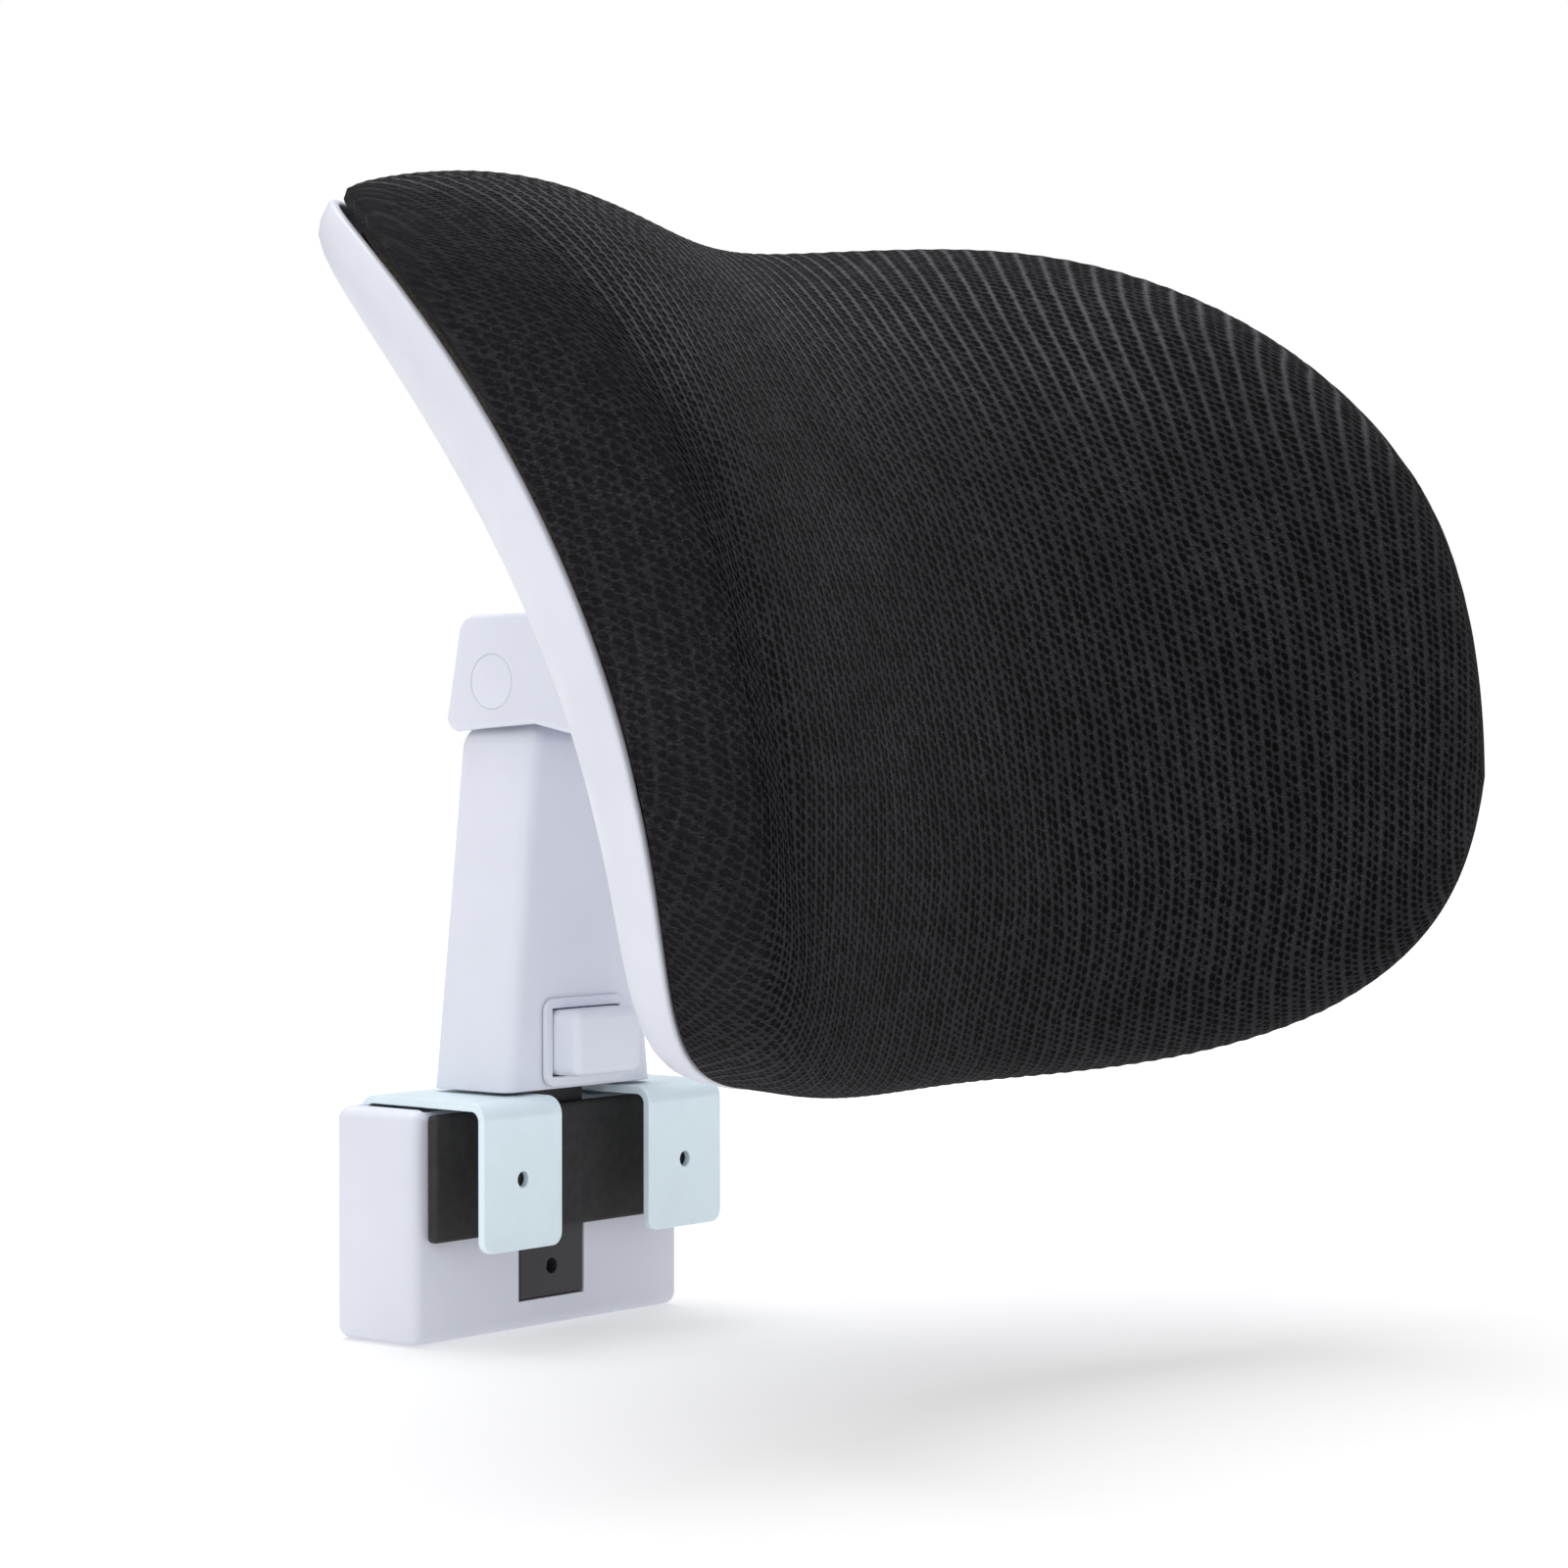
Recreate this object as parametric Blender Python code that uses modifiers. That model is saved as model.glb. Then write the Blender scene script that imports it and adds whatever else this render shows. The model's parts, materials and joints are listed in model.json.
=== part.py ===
"""Clamp-on office chair headrest.

A saddle-shaped cushion tilts on an arm at the top of a stem. The stem slides up a mast, which stands in a
base behind the chair back, and a sprung brake holds it until its button is pressed. Two sheet-metal hooks
pass over the chair back's top edge and clamp it to the base.

Metres, +Z up. The front, which the head leans on, faces -Y. The origin is the middle of the jaw pad's face,
where it meets the rear of the chair back. The chair back fills the slot between the jaw pad and the hooks'
front legs.
"""

import math

import bmesh
import bpy
from mathutils import Matrix, Vector

# Running gap between pieces that touch on the real object.
GAP = 0.0003

# Chair back slot and hooks.
SLOT = 0.0107
HOOK_X = 0.0281
HOOK_WIDTH = 0.026
HOOK_SHEET = 0.002
HOOK_TOP = 0.018
HOOK_FRONT_BOTTOM = -0.016
HOOK_REAR_BOTTOM = -0.020
HOOK_REAR_Y = 0.0243
HOOK_BEND = 0.0032
HOOK_CORNER = 0.003
HOOK_HOLE = 0.0018
HOOK_PAD = 0.001
HOOK_PAD_HALF_WIDTH = 0.011
HOOK_PAD_HALF_HEIGHT = 0.013

# Base behind the chair back.
BASE_HALF_WIDTH = 0.046
BASE_FRONT = 0.0033
BASE_REAR = 0.029
BASE_BOTTOM = -0.038
BASE_TOP = 0.0155
JAW_PAD_HALF_WIDTH = 0.042
JAW_PAD_HALF_HEIGHT = 0.0145
POCKET_FRONT = 0.0048
POCKET_REAR = 0.026
POCKET_BOTTOM = -0.026
CLAMP_Z = -0.006
CLAMP_RADIUS = 0.003
CLAMP_LENGTH = 0.0254
CLAMP_HEAD_RADIUS = 0.0052
CLAMP_HEAD_HEIGHT = 0.005
CLAMP_WASHER_RADIUS = 0.0065
NUT_RADIUS = 0.0057
CLAMP_NUT_THICKNESS = 0.0032

# Mast, the rail that the stem rides on, with the brake's track down its rear face.
MAST_FRONT = 0.0033
MAST_REAR = 0.0083
MAST_HALF_WIDTH = 0.011
MAST_BOTTOM = -0.031
MAST_TOP = 0.088
TRACK_DEPTH = 0.0018
TRACK_HALF_WIDTH = 0.0095
STEM_TRAVEL = 0.045
MAST_SCREW_HEIGHTS = (-0.0080, -0.0240)
MAST_SCREW_Y = 0.0258
MAST_SCREW_LENGTH = 0.0205

# Stem, a tapered hollow post.
STEM_FRONT = -0.0064
STEM_REAR = 0.017
STEM_BOTTOM = 0.0188
STEM_TOP = 0.1034
STEM_BOTTOM_HALF_WIDTH = 0.0255
STEM_TOP_HALF_WIDTH = 0.0155
STEM_WALL = 0.0024
STEM_TOP_EDGE = 0.0050
STEM_SIDE_EDGE = 0.0035
STEM_REAR_EDGE = 0.0015
COVER_THICKNESS = 0.0022
COVER_TOP = 0.0962
STEM_BOSS_Z = 0.050
STEM_BOSS_RADIUS = 0.0032
STEM_SCREW_LENGTH = 0.0085
NECK_HALF_DEPTH = 0.0060
NECK_FLOOR = 0.0885
NECK_SCREW_X = 0.0036
NECK_SCREW_Z = 0.0925

# Release button on the stem's foot.
BUTTON_HALF_WIDTH = 0.0113
BUTTON_BOTTOM = 0.0220
BUTTON_TOP = 0.0372
BUTTON_FRONT = -0.0154
BEZEL = 0.0026
BEZEL_PROUD = 0.0012
LATCH_Z = 0.0290
LATCH_HALF_THICKNESS = 0.002
LATCH_WING = 0.0203
LATCH_WINDOW_REAR = 0.0098
BRAKE_HALF_WIDTH = 0.0090
SPRING_X = 0.0182
SPRING_RADIUS = 0.0018
SPRING_WIRE = 0.0003

# Tilt joint at the stem's top.
TILT_Y = 0.0055
TILT_Z = 0.1130
AXLE_RADIUS = 0.003
KNUCKLE_RADIUS = 0.0102
KNUCKLE_HALF_WIDTH = 0.007
WASHER = 0.001
ARM_HALF_WIDTH = 0.018
SLOT_HALF_WIDTH = 0.0086
HOOD_HALF_WIDTH = 0.0166
HOOD_FRONT = 0.0160
HOOD_REAR = 0.0133
HOOD_CEILING = 0.0072
AXLE_LENGTH = 0.0284
AXLE_HEAD_HEIGHT = 0.0032
AXLE_RECESS_X = 0.0118
AXLE_RECESS_RADIUS = 0.0064
AXLE_CAP_THICKNESS = 0.0010

# Headrest: the seam surface between cushion and shell, and the forms on both sides of it.
HALF_WIDTH = 0.1325
TOP_RISE = 0.1370
BOTTOM_DROP = 0.0675
MIDDLE_Z = 0.0910
SEAM_Y = -0.0880
TOP_POWER = 3.4
BOTTOM_POWER = 3.3
FLARE = 0.13
EAR_DIP = 0.0165
BOTTOM_SAG = -0.0025
LEAN = 0.35
CURL = 3.5
WING = 0.0510
WING_TWIST = 0.07
PAD_DEPTH = 0.0520
PAD_DEPTH_RISE = 0.177
PAD_DEPTH_CURVE = 1.88
PAD_POWER = 3.5
PAD_BULGE = 0.040
PAD_INSET_REACH = 0.070
SHELL_DEPTH = 0.0150
SHELL_POWER = 5.0
SHELL_WALL = 0.0024
BOARD_THICKNESS = 0.004
COVER_SKIN = 0.0018

# Arm between the shell and the tilt axle.
LAND_HEIGHT = 0.025
LAND_HALF_WIDTH = 0.028
LAND_HALF_LENGTH = 0.021
LAND_DEPTH = 0.0186
FLANGE = 0.0045
FLANGE_SCREW_INSET = 0.0065

# Small screws that hold the headrest together.
SCREW_RADIUS = 0.0015
SCREW_HOLE = 0.0019
SCREW_HEAD = 0.0034
SCREW_SEAT = 0.0040
SHELL_SCREW_DEPTH = 0.0125
SHELL_SCREW_LENGTH = 0.0100
ARM_SCREW_LENGTH = 0.0095

LOOKS = {
    "white_plastic": ((0.80, 0.82, 0.88, 1.0), 0.42, 0.0),
    "mesh_fabric": ((0.022, 0.022, 0.026, 1.0), 0.9, 0.0),
    "foam": ((0.45, 0.42, 0.36, 1.0), 1.0, 0.0),
    "black_plastic": ((0.03, 0.03, 0.033, 1.0), 0.5, 0.0),
    "zinc_steel": ((0.83, 0.88, 0.92, 1.0), 0.32, 0.6),
    "bright_steel": ((0.62, 0.63, 0.65, 1.0), 0.3, 1.0),
    "rubber": ((0.02, 0.02, 0.02, 1.0), 0.85, 0.0),
    "nylon": ((0.78, 0.77, 0.72, 1.0), 0.5, 0.0),
}


def clear_scene():
    for piece in list(bpy.data.objects):
        bpy.data.objects.remove(piece, do_unlink=True)


def collection(name):
    group = bpy.data.collections.new(name)
    bpy.context.scene.collection.children.link(group)
    return group


def look(name):
    """The named material, made the first time it is asked for."""
    found = bpy.data.materials.get(name)
    if found:
        return found
    colour, roughness, metallic = LOOKS[name]
    found = bpy.data.materials.new(name)
    found.use_nodes = True
    found.diffuse_color = colour
    shader = found.node_tree.nodes["Principled BSDF"]
    shader.inputs["Base Color"].default_value = colour
    shader.inputs["Roughness"].default_value = roughness
    shader.inputs["Metallic"].default_value = metallic
    return found


def add(name, mesh, finish, smooth=False):
    """A part from a mesh, or a cutter when it has no finish."""
    piece = bpy.data.objects.new(name, mesh)
    if finish:
        if not mesh.materials:
            mesh.materials.append(look(finish))
        PARTS.objects.link(piece)
    else:
        CUTTERS.objects.link(piece)
        piece.display_type = "WIRE"
        piece.hide_render = True
    if smooth:
        mesh.shade_smooth()
        mesh.set_sharp_from_angle(angle=math.radians(35))
    return piece


def from_form(name, form, finish, smooth=False):
    mesh = bpy.data.meshes.new(name)
    form.to_mesh(mesh)
    form.free()
    return add(name, mesh, finish, smooth)


def bevel(piece, width, segments=2, angle=40):
    rounding = piece.modifiers.new("rounded edges", "BEVEL")
    rounding.width = width
    rounding.segments = segments
    rounding.limit_method = "ANGLE"
    rounding.angle_limit = math.radians(angle)


def block(name, low, high, finish=None, edge=0.0, segments=2):
    """A box between two corners, its edges rounded by edge."""
    low, high = Vector(low), Vector(high)
    form = bmesh.new()
    bmesh.ops.create_cube(form, size=1.0)
    bmesh.ops.scale(form, vec=high - low, verts=form.verts)
    piece = from_form(name, form, finish)
    piece.location = (low + high) / 2
    if edge:
        bevel(piece, edge, segments)
    return piece


def rod(name, start, end, radius, finish=None, sides=24):
    """A round bar between two points."""
    start, end = Vector(start), Vector(end)
    run = end - start
    form = bmesh.new()
    bmesh.ops.create_cone(form, cap_ends=True, segments=sides, radius1=radius, radius2=radius, depth=run.length)
    piece = from_form(name, form, finish, smooth=bool(finish))
    piece.location = (start + end) / 2
    piece.rotation_mode = "QUATERNION"
    piece.rotation_quaternion = run.to_track_quat("Z", "Y")
    return piece


def combine(piece, operation, others):
    for other in others:
        step = piece.modifiers.new(other.name, "BOOLEAN")
        step.operation = operation
        step.solver = "EXACT"
        step.object = other


def cut(piece, *others):
    combine(piece, "DIFFERENCE", others)


def join(piece, *others):
    combine(piece, "UNION", others)


def evaluated_mesh(piece):
    bpy.context.view_layer.update()
    return bpy.data.meshes.new_from_object(piece.evaluated_get(bpy.context.evaluated_depsgraph_get()))


def side_profile(name, points, low_x, high_x, finish=None):
    """A flat outline in Y and Z, as a closed solid from low_x to high_x."""
    curve = bpy.data.curves.new(name + " outline", "CURVE")
    curve.dimensions = "2D"
    curve.fill_mode = "BOTH"
    curve.extrude = (high_x - low_x) / 2
    spline = curve.splines.new("POLY")
    spline.points.add(len(points) - 1)
    for point, (y, z) in zip(spline.points, points):
        point.co = (y, z, 0.0, 1.0)
    spline.use_cyclic_u = True
    drawn = bpy.data.objects.new(name + " outline", curve)
    CUTTERS.objects.link(drawn)
    mesh = evaluated_mesh(drawn)
    bpy.data.objects.remove(drawn, do_unlink=True)
    form = bmesh.new()
    form.from_mesh(mesh)
    bmesh.ops.remove_doubles(form, verts=form.verts, dist=0.00001)
    bmesh.ops.dissolve_limit(form, angle_limit=math.radians(1), verts=form.verts, edges=form.edges)
    # The outline's own x, y and z become the part's y, z and x.
    turn = Matrix(((0, 0, 1, 0), (1, 0, 0, 0), (0, 1, 0, 0), (0, 0, 0, 1)))
    bmesh.ops.transform(form, matrix=Matrix.Translation(((low_x + high_x) / 2, 0, 0)) @ turn, verts=form.verts)
    bmesh.ops.recalc_face_normals(form, faces=form.faces)
    return from_form(name, form, finish)


def arc(centre, radius, start, end, steps):
    """Points round part of a circle, with angles in degrees."""
    angles = (math.radians(start + (end - start) * i / steps) for i in range(steps + 1))
    return [(centre[0] + radius * math.cos(a), centre[1] + radius * math.sin(a)) for a in angles]


# Fasteners


def turned(name, profile, steps=14):
    """A closed mesh turned about Z from a profile of (radius, height) points, top to bottom."""
    form = bmesh.new()
    points = [form.verts.new((radius, 0, height)) for radius, height in profile]
    for first, second in zip(points, points[1:]):
        form.edges.new((first, second))
    piece = from_form(name, form, None)
    spin = piece.modifiers.new("turn", "SCREW")
    spin.steps = steps
    spin.render_steps = steps
    spin.use_merge_vertices = True
    spin.merge_threshold = 0.00001
    return piece


def screw_mesh(name, head_radius, head_height, shank_radius, length, drive, finish):
    """A screw along -Z, its head's underside at the origin, with a six-sided or a crossed recess."""
    chamfer = head_height * 0.25
    profile = [
        (0, head_height),
        (head_radius - chamfer, head_height),
        (head_radius, head_height - chamfer),
        (head_radius, 0),
        (shank_radius, 0),
        (shank_radius, shank_radius - length),
        (shank_radius * 0.35, -length),
        (0, -length),
    ]
    blank = turned(name + " blank", profile)
    depth = head_height * 0.6
    if drive == "hex":
        floor, mouth = (0, 0, head_height - depth), (0, 0, head_height * 2)
        tools = [rod(name + " drive", floor, mouth, head_radius * 0.55, sides=6)]
    else:
        arm, half = head_radius * 0.62, head_radius * 0.14
        tools = [
            block(name + " drive a", (-arm, -half, head_height - depth), (arm, half, head_height * 2)),
            block(name + " drive b", (-half, -arm, head_height - depth), (half, arm, head_height * 2)),
        ]
    cut(blank, *tools)
    mesh = evaluated_mesh(blank)
    mesh.name = name
    mesh.materials.clear()
    mesh.materials.append(look(finish))
    mesh.shade_smooth()
    mesh.set_sharp_from_angle(angle=math.radians(35))
    for spare in [blank, *tools]:
        bpy.data.objects.remove(spare, do_unlink=True)
    return mesh


def place(name, mesh, position, direction):
    """A copy of a mesh whose own +Z points along direction."""
    piece = bpy.data.objects.new(name, mesh)
    PARTS.objects.link(piece)
    piece.location = position
    piece.rotation_mode = "QUATERNION"
    piece.rotation_quaternion = Vector(direction).to_track_quat("Z", "Y")
    return piece


def washer(name, centre, axis, inner, outer, thickness, finish, sides=24):
    axis = Vector(axis)
    half = axis * thickness / 2
    ring = rod(name, Vector(centre) - half, Vector(centre) + half, outer, finish, sides)
    cut(ring, rod(name + " hole", Vector(centre) - half * 4, Vector(centre) + half * 4, inner))
    return ring


# Headrest surfaces


def rise(z):
    """Height above the headrest's widest line, in tenths of a metre."""
    return (z - MIDDLE_Z) / 0.1


def seam_outline(angle, scale=1.0):
    """X and Z of the seam at an angle round the headrest, from +X by way of the top."""
    across, up = math.cos(angle), math.sin(angle)
    power = 2 / (TOP_POWER if up > 0 else BOTTOM_POWER)
    wide = math.copysign(abs(across) ** power, across)
    high = math.copysign(abs(up) ** power, up)
    wide *= 1 + FLARE * high
    middle = max(0.0, 1 - wide * wide)
    dip = EAR_DIP * middle * middle if up > 0 else BOTTOM_SAG * middle
    height = (TOP_RISE if up > 0 else BOTTOM_DROP) * high - dip * high * high
    return scale * HALF_WIDTH * wide, MIDDLE_Z + scale * height


def seam_depth(x, z):
    """Y of the surface that the seam lies in: it leans back as it rises, and its wings come forward."""
    k = rise(z)
    lean = 0.1 * LEAN * k + 0.01 * CURL * k * k
    wing = (WING + 0.1 * WING_TWIST * k) * (x / HALF_WIDTH) ** 2
    return SEAM_Y + lean - wing


def lean_angle(z):
    return math.atan(LEAN + 0.2 * CURL * rise(z))


def pad_depth(z):
    k = rise(z)
    return PAD_DEPTH + 0.1 * PAD_DEPTH_RISE * k + 0.01 * PAD_DEPTH_CURVE * k * k


def dome(across, up, power):
    """Edge fraction and height fraction of a crowned form at a point of the unit square."""
    reach = max(abs(across), abs(up))
    angle = (1 - reach) * math.pi / 2
    return math.cos(angle) ** (2 / power), math.sin(angle) ** (2 / power), math.sin(min(2.2 * angle, math.pi))


def pad_point(across, up, inset=0.0):
    """A point of the cushion's front, inset from its face."""
    reach, height, side = dome(across, up, PAD_POWER)
    shrink = 1 - inset / PAD_INSET_REACH
    x, z = seam_outline(math.atan2(up, across), reach * shrink * (1 + PAD_BULGE * side))
    # The cover's edge stands clear of the shell's rim by more where the seam surface leans more.
    lip = 2 * GAP + COVER_SKIN * max(0.0, math.tan(lean_angle(z)))
    return Vector((x, seam_depth(x, z) - lip - height * (pad_depth(z) - inset - lip), z))


def shell_point(across, up):
    """A point of the shell's outer face, a shallow tray that opens at the seam."""
    reach, height, _ = dome(across, up, SHELL_POWER)
    x, z = seam_outline(math.atan2(up, across), reach)
    lean = lean_angle(z)
    step = 2 * GAP + SHELL_DEPTH * height
    return Vector((x, seam_depth(x, z) + step * math.cos(lean), z - step * math.sin(lean)))


def sheet_point(across, up, depth, scale):
    """A point at an even depth behind the seam surface."""
    x, z = seam_outline(math.atan2(up, across), scale * max(abs(across), abs(up)))
    return shell_frame(x, z, depth)[0]


def surface(name, point_at, steps, finish):
    """An open sheet shaped by a function of the unit square, seen from +Y."""
    form = bmesh.new()
    bmesh.ops.create_grid(form, x_segments=steps, y_segments=steps, size=1.0)
    for vert in form.verts:
        vert.co = point_at(vert.co.x, vert.co.y)
    return from_form(name, form, finish, smooth=True)


def thicken(piece, thickness, offset):
    wall = piece.modifiers.new("wall", "SOLIDIFY")
    wall.thickness = thickness
    wall.offset = offset
    wall.use_even_offset = True


def shell_frame(x, z, depth):
    """Place and direction square to the headrest's back, at a depth behind the seam surface."""
    step = 0.001
    across = Vector((2 * step, seam_depth(x + step, z) - seam_depth(x - step, z), 0))
    along = Vector((0, seam_depth(x, z + step) - seam_depth(x, z - step), 2 * step))
    outward = along.cross(across).normalized()
    return Vector((x, seam_depth(x, z), z)) + outward * depth, outward


# Headrest pieces


def cushion_cover():
    cover = surface("cushion_cover", pad_point, 20, "mesh_fabric")
    thicken(cover, COVER_SKIN, -1)
    return cover


def foam_pad():
    """Closed cushion form: the cover's crown, inset, over a back that lies on the board."""
    inset = 2 * COVER_SKIN
    form = bmesh.new()
    bmesh.ops.create_cube(form, size=2.0)
    across_edges = [e for e in form.edges if e.verts[0].co.y == e.verts[1].co.y]
    bmesh.ops.subdivide_edges(form, edges=across_edges, cuts=15, use_grid_fill=True)
    for vert in form.verts:
        across, side, up = vert.co
        if side < 0:
            vert.co = pad_point(across, up, inset)
        else:
            vert.co = sheet_point(across, up, 0.0, 1 - inset / PAD_INSET_REACH)
    return from_form("foam_pad", form, "foam", smooth=True)


def fixing_points():
    """Where the shell's screws go into the board."""
    return [(x, MIDDLE_Z + z) for z in (-0.028, 0.048) for x in (-0.068, 0.068)]


def land_frame():
    return shell_frame(0, MIDDLE_Z + LAND_HEIGHT, 0)


def along_lean():
    """Direction up the headrest's back at the arm's flange."""
    outward = land_frame()[1]
    return Vector((1, 0, 0)).cross(outward)


def leaning_block(name, low_depth, high_depth, half_width, half_length, edge):
    """A box square to the headrest's back, between two depths behind the seam surface."""
    foot, outward = land_frame()
    low, high = (-half_width, -half_length, low_depth), (half_width, half_length, high_depth)
    piece = block(name, low, high, edge=edge)
    piece.rotation_mode = "QUATERNION"
    turn = Matrix((Vector((1, 0, 0)), -along_lean(), outward)).transposed().to_quaternion()
    piece.rotation_quaternion = turn
    piece.location = foot + outward * (low_depth + high_depth) / 2
    return piece


def flange_screw_points():
    foot, _ = land_frame()
    up = along_lean() * (LAND_HALF_LENGTH - FLANGE_SCREW_INSET)
    across = Vector((LAND_HALF_WIDTH - FLANGE_SCREW_INSET, 0, 0))
    return [foot + up * u + across * v for u in (-1, 1) for v in (-1, 1)]


def rear_shell():
    shell = surface("rear_shell", lambda across, up: shell_point(-across, up), 20, "white_plastic")
    thicken(shell, SHELL_WALL, -1)
    join(shell, leaning_block("shell land", 0.0110, LAND_DEPTH, LAND_HALF_WIDTH, LAND_HALF_LENGTH, 0.001))
    _, outward = land_frame()
    for i, point in enumerate(flange_screw_points(), 1):
        start, end = point + outward * 0.009, point + outward * 0.025
        cut(shell, rod(f"land hole {i}", start, end, SCREW_HOLE, sides=12))
    for i, (x, z) in enumerate(fixing_points(), 1):
        foot, square = shell_frame(x, z, 0)
        seat = foot + square * (SHELL_SCREW_DEPTH - GAP)
        top = foot + square * SHELL_SCREW_DEPTH
        join(shell, rod(f"boss {i}", foot + square * 0.0056, top, 0.0045, sides=16))
        cut(shell, rod(f"boss hole {i}", foot + square * 0.002, foot + square * 0.020, SCREW_HOLE, sides=12))
        cut(shell, rod(f"boss seat {i}", seat, foot + square * 0.020, SCREW_SEAT, sides=16))
    return shell


def support_board():
    board = surface(
        "support_board",
        lambda across, up: sheet_point(-across, up, 3 * GAP + BOARD_THICKNESS, 0.945),
        14,
        "black_plastic",
    )
    thicken(board, BOARD_THICKNESS, -1)
    for i, (x, z) in enumerate(fixing_points(), 1):
        foot, square = shell_frame(x, z, 0)
        cut(board, rod(f"board hole {i}", foot - square * 0.003, foot + square * 0.008, SCREW_HOLE, sides=12))
    return board


def shell_screws():
    form = (SCREW_HEAD, 0.0020, SCREW_RADIUS, SHELL_SCREW_LENGTH)
    mesh = screw_mesh("shell screw", *form, "cross", "bright_steel")
    screws = []
    for i, (x, z) in enumerate(fixing_points(), 1):
        foot, square = shell_frame(x, z, 0)
        screws.append(place(f"shell_screw_{i}", mesh, foot + square * SHELL_SCREW_DEPTH, square))
    return screws


def arm_outline():
    """Side view of the arm, from the rear of its hood round by the top to its flange and back below."""
    foot, outward = land_frame()
    along = along_lean()
    root = foot + outward * (LAND_DEPTH + FLANGE / 2)
    top, bottom = root + along * 0.0150, root - along * 0.0125
    rear_low = arc((0.0170, 0.1046), 0.0032, -90, 0, 4)
    rear_high = arc((0.0115, 0.1236), 0.0050, 10, 90, 5)
    under = [(-0.0400, 0.0980), (-0.0170, 0.1012), (-0.0070, 0.1032), (0.0080, 0.1022)]
    over = [(-0.0140, 0.1288), (-0.0340, 0.1268), (top.y, top.z), (bottom.y, bottom.z)]
    return rear_low + rear_high + over + under


def tilt_arm():
    """A flange on the shell, a short bar, and a hood that hides the stem's top and carries the axle."""
    arm = side_profile("tilt_arm", arm_outline(), -ARM_HALF_WIDTH, ARM_HALF_WIDTH, "white_plastic")
    bevel(arm, 0.0014, 2)
    low = LAND_DEPTH + GAP
    join(arm, leaning_block("arm flange", low, low + FLANGE, LAND_HALF_WIDTH, LAND_HALF_LENGTH, 0.001))
    _, outward = land_frame()
    for i, point in enumerate(flange_screw_points(), 1):
        seat = point + outward * (LAND_DEPTH + 0.0033)
        start, end = point + outward * 0.012, point + outward * 0.030
        cut(arm, rod(f"flange hole {i}", start, end, SCREW_HOLE, sides=12))
        cut(arm, rod(f"flange seat {i}", seat, point + outward * 0.040, SCREW_SEAT, sides=16))
    slot_left, slot_right = (-SLOT_HALF_WIDTH, TILT_Y, TILT_Z), (SLOT_HALF_WIDTH, TILT_Y, TILT_Z)
    cut(arm, rod("knuckle slot", slot_left, slot_right, KNUCKLE_RADIUS + 3 * GAP, sides=40))
    hood_low = (-HOOD_HALF_WIDTH, TILT_Y - HOOD_FRONT, TILT_Z - 0.03)
    hood_high = (HOOD_HALF_WIDTH, TILT_Y + HOOD_REAR, TILT_Z - HOOD_CEILING)
    cut(arm, block("hood hollow", hood_low, hood_high))
    cut(arm, rod("axle hole", (-0.03, TILT_Y, TILT_Z), (0.03, TILT_Y, TILT_Z), AXLE_RADIUS + GAP))
    for side in (-1, 1):
        start, end = (side * AXLE_RECESS_X, TILT_Y, TILT_Z), (side * 0.03, TILT_Y, TILT_Z)
        cut(arm, rod(f"axle recess {side}", start, end, AXLE_RECESS_RADIUS, sides=32))
    return arm


def arm_screws():
    form = (SCREW_HEAD, 0.0022, SCREW_RADIUS, ARM_SCREW_LENGTH)
    mesh = screw_mesh("arm screw", *form, "cross", "bright_steel")
    _, outward = land_frame()
    seats = [point + outward * (LAND_DEPTH + 0.0036) for point in flange_screw_points()]
    return [place(f"arm_screw_{i}", mesh, seat, outward) for i, seat in enumerate(seats, 1)]


def tilt_hardware():
    """The axle, its nut and spring washer, and the caps over both ends, all held by the arm."""
    axis = (1, 0, 0)
    form = (0.0052, AXLE_HEAD_HEIGHT, AXLE_RADIUS, AXLE_LENGTH)
    axle_mesh = screw_mesh("tilt axle", *form, "hex", "bright_steel")
    axle = place("tilt_axle", axle_mesh, (-AXLE_RECESS_X - GAP, TILT_Y, TILT_Z), (-1, 0, 0))
    hole = AXLE_RADIUS + GAP
    spring = washer("axle_spring_washer", (0.0127, TILT_Y, TILT_Z), axis, hole, 0.0054, WASHER, "bright_steel")
    nut = washer("axle_nut", (0.0149, TILT_Y, TILT_Z), axis, hole, NUT_RADIUS, 0.0026, "bright_steel", sides=6)
    pieces = [axle, spring, nut]
    for side, word in ((-1, "left"), (1, "right")):
        start = (side * (ARM_HALF_WIDTH - AXLE_CAP_THICKNESS), TILT_Y, TILT_Z)
        end = (side * ARM_HALF_WIDTH, TILT_Y, TILT_Z)
        cap = rod(f"axle_cap_{word}", start, end, AXLE_RECESS_RADIUS - GAP, "white_plastic", sides=32)
        pieces.append(cap)
        centre = (side * (KNUCKLE_HALF_WIDTH + GAP + WASHER / 2), TILT_Y, TILT_Z)
        pieces.append(washer(f"friction_washer_{word}", centre, axis, hole, 0.0088, WASHER, "nylon"))
    return pieces


# Stem pieces


def stem_half_width(z):
    share = (z - STEM_BOTTOM) / (STEM_TOP - STEM_BOTTOM)
    return STEM_BOTTOM_HALF_WIDTH + share * (STEM_TOP_HALF_WIDTH - STEM_BOTTOM_HALF_WIDTH)


def tapered_block(name, front, rear, bottom, top, inset, finish=None):
    """A post that narrows with the stem, inset from the stem's sides."""
    form = bmesh.new()
    bmesh.ops.create_cube(form, size=1.0)
    for vert in form.verts:
        z = bottom if vert.co.z < 0 else top
        x = math.copysign(stem_half_width(z) - inset, vert.co.x)
        vert.co = (x, front if vert.co.y < 0 else rear, z)
    return from_form(name, form, finish)


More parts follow.
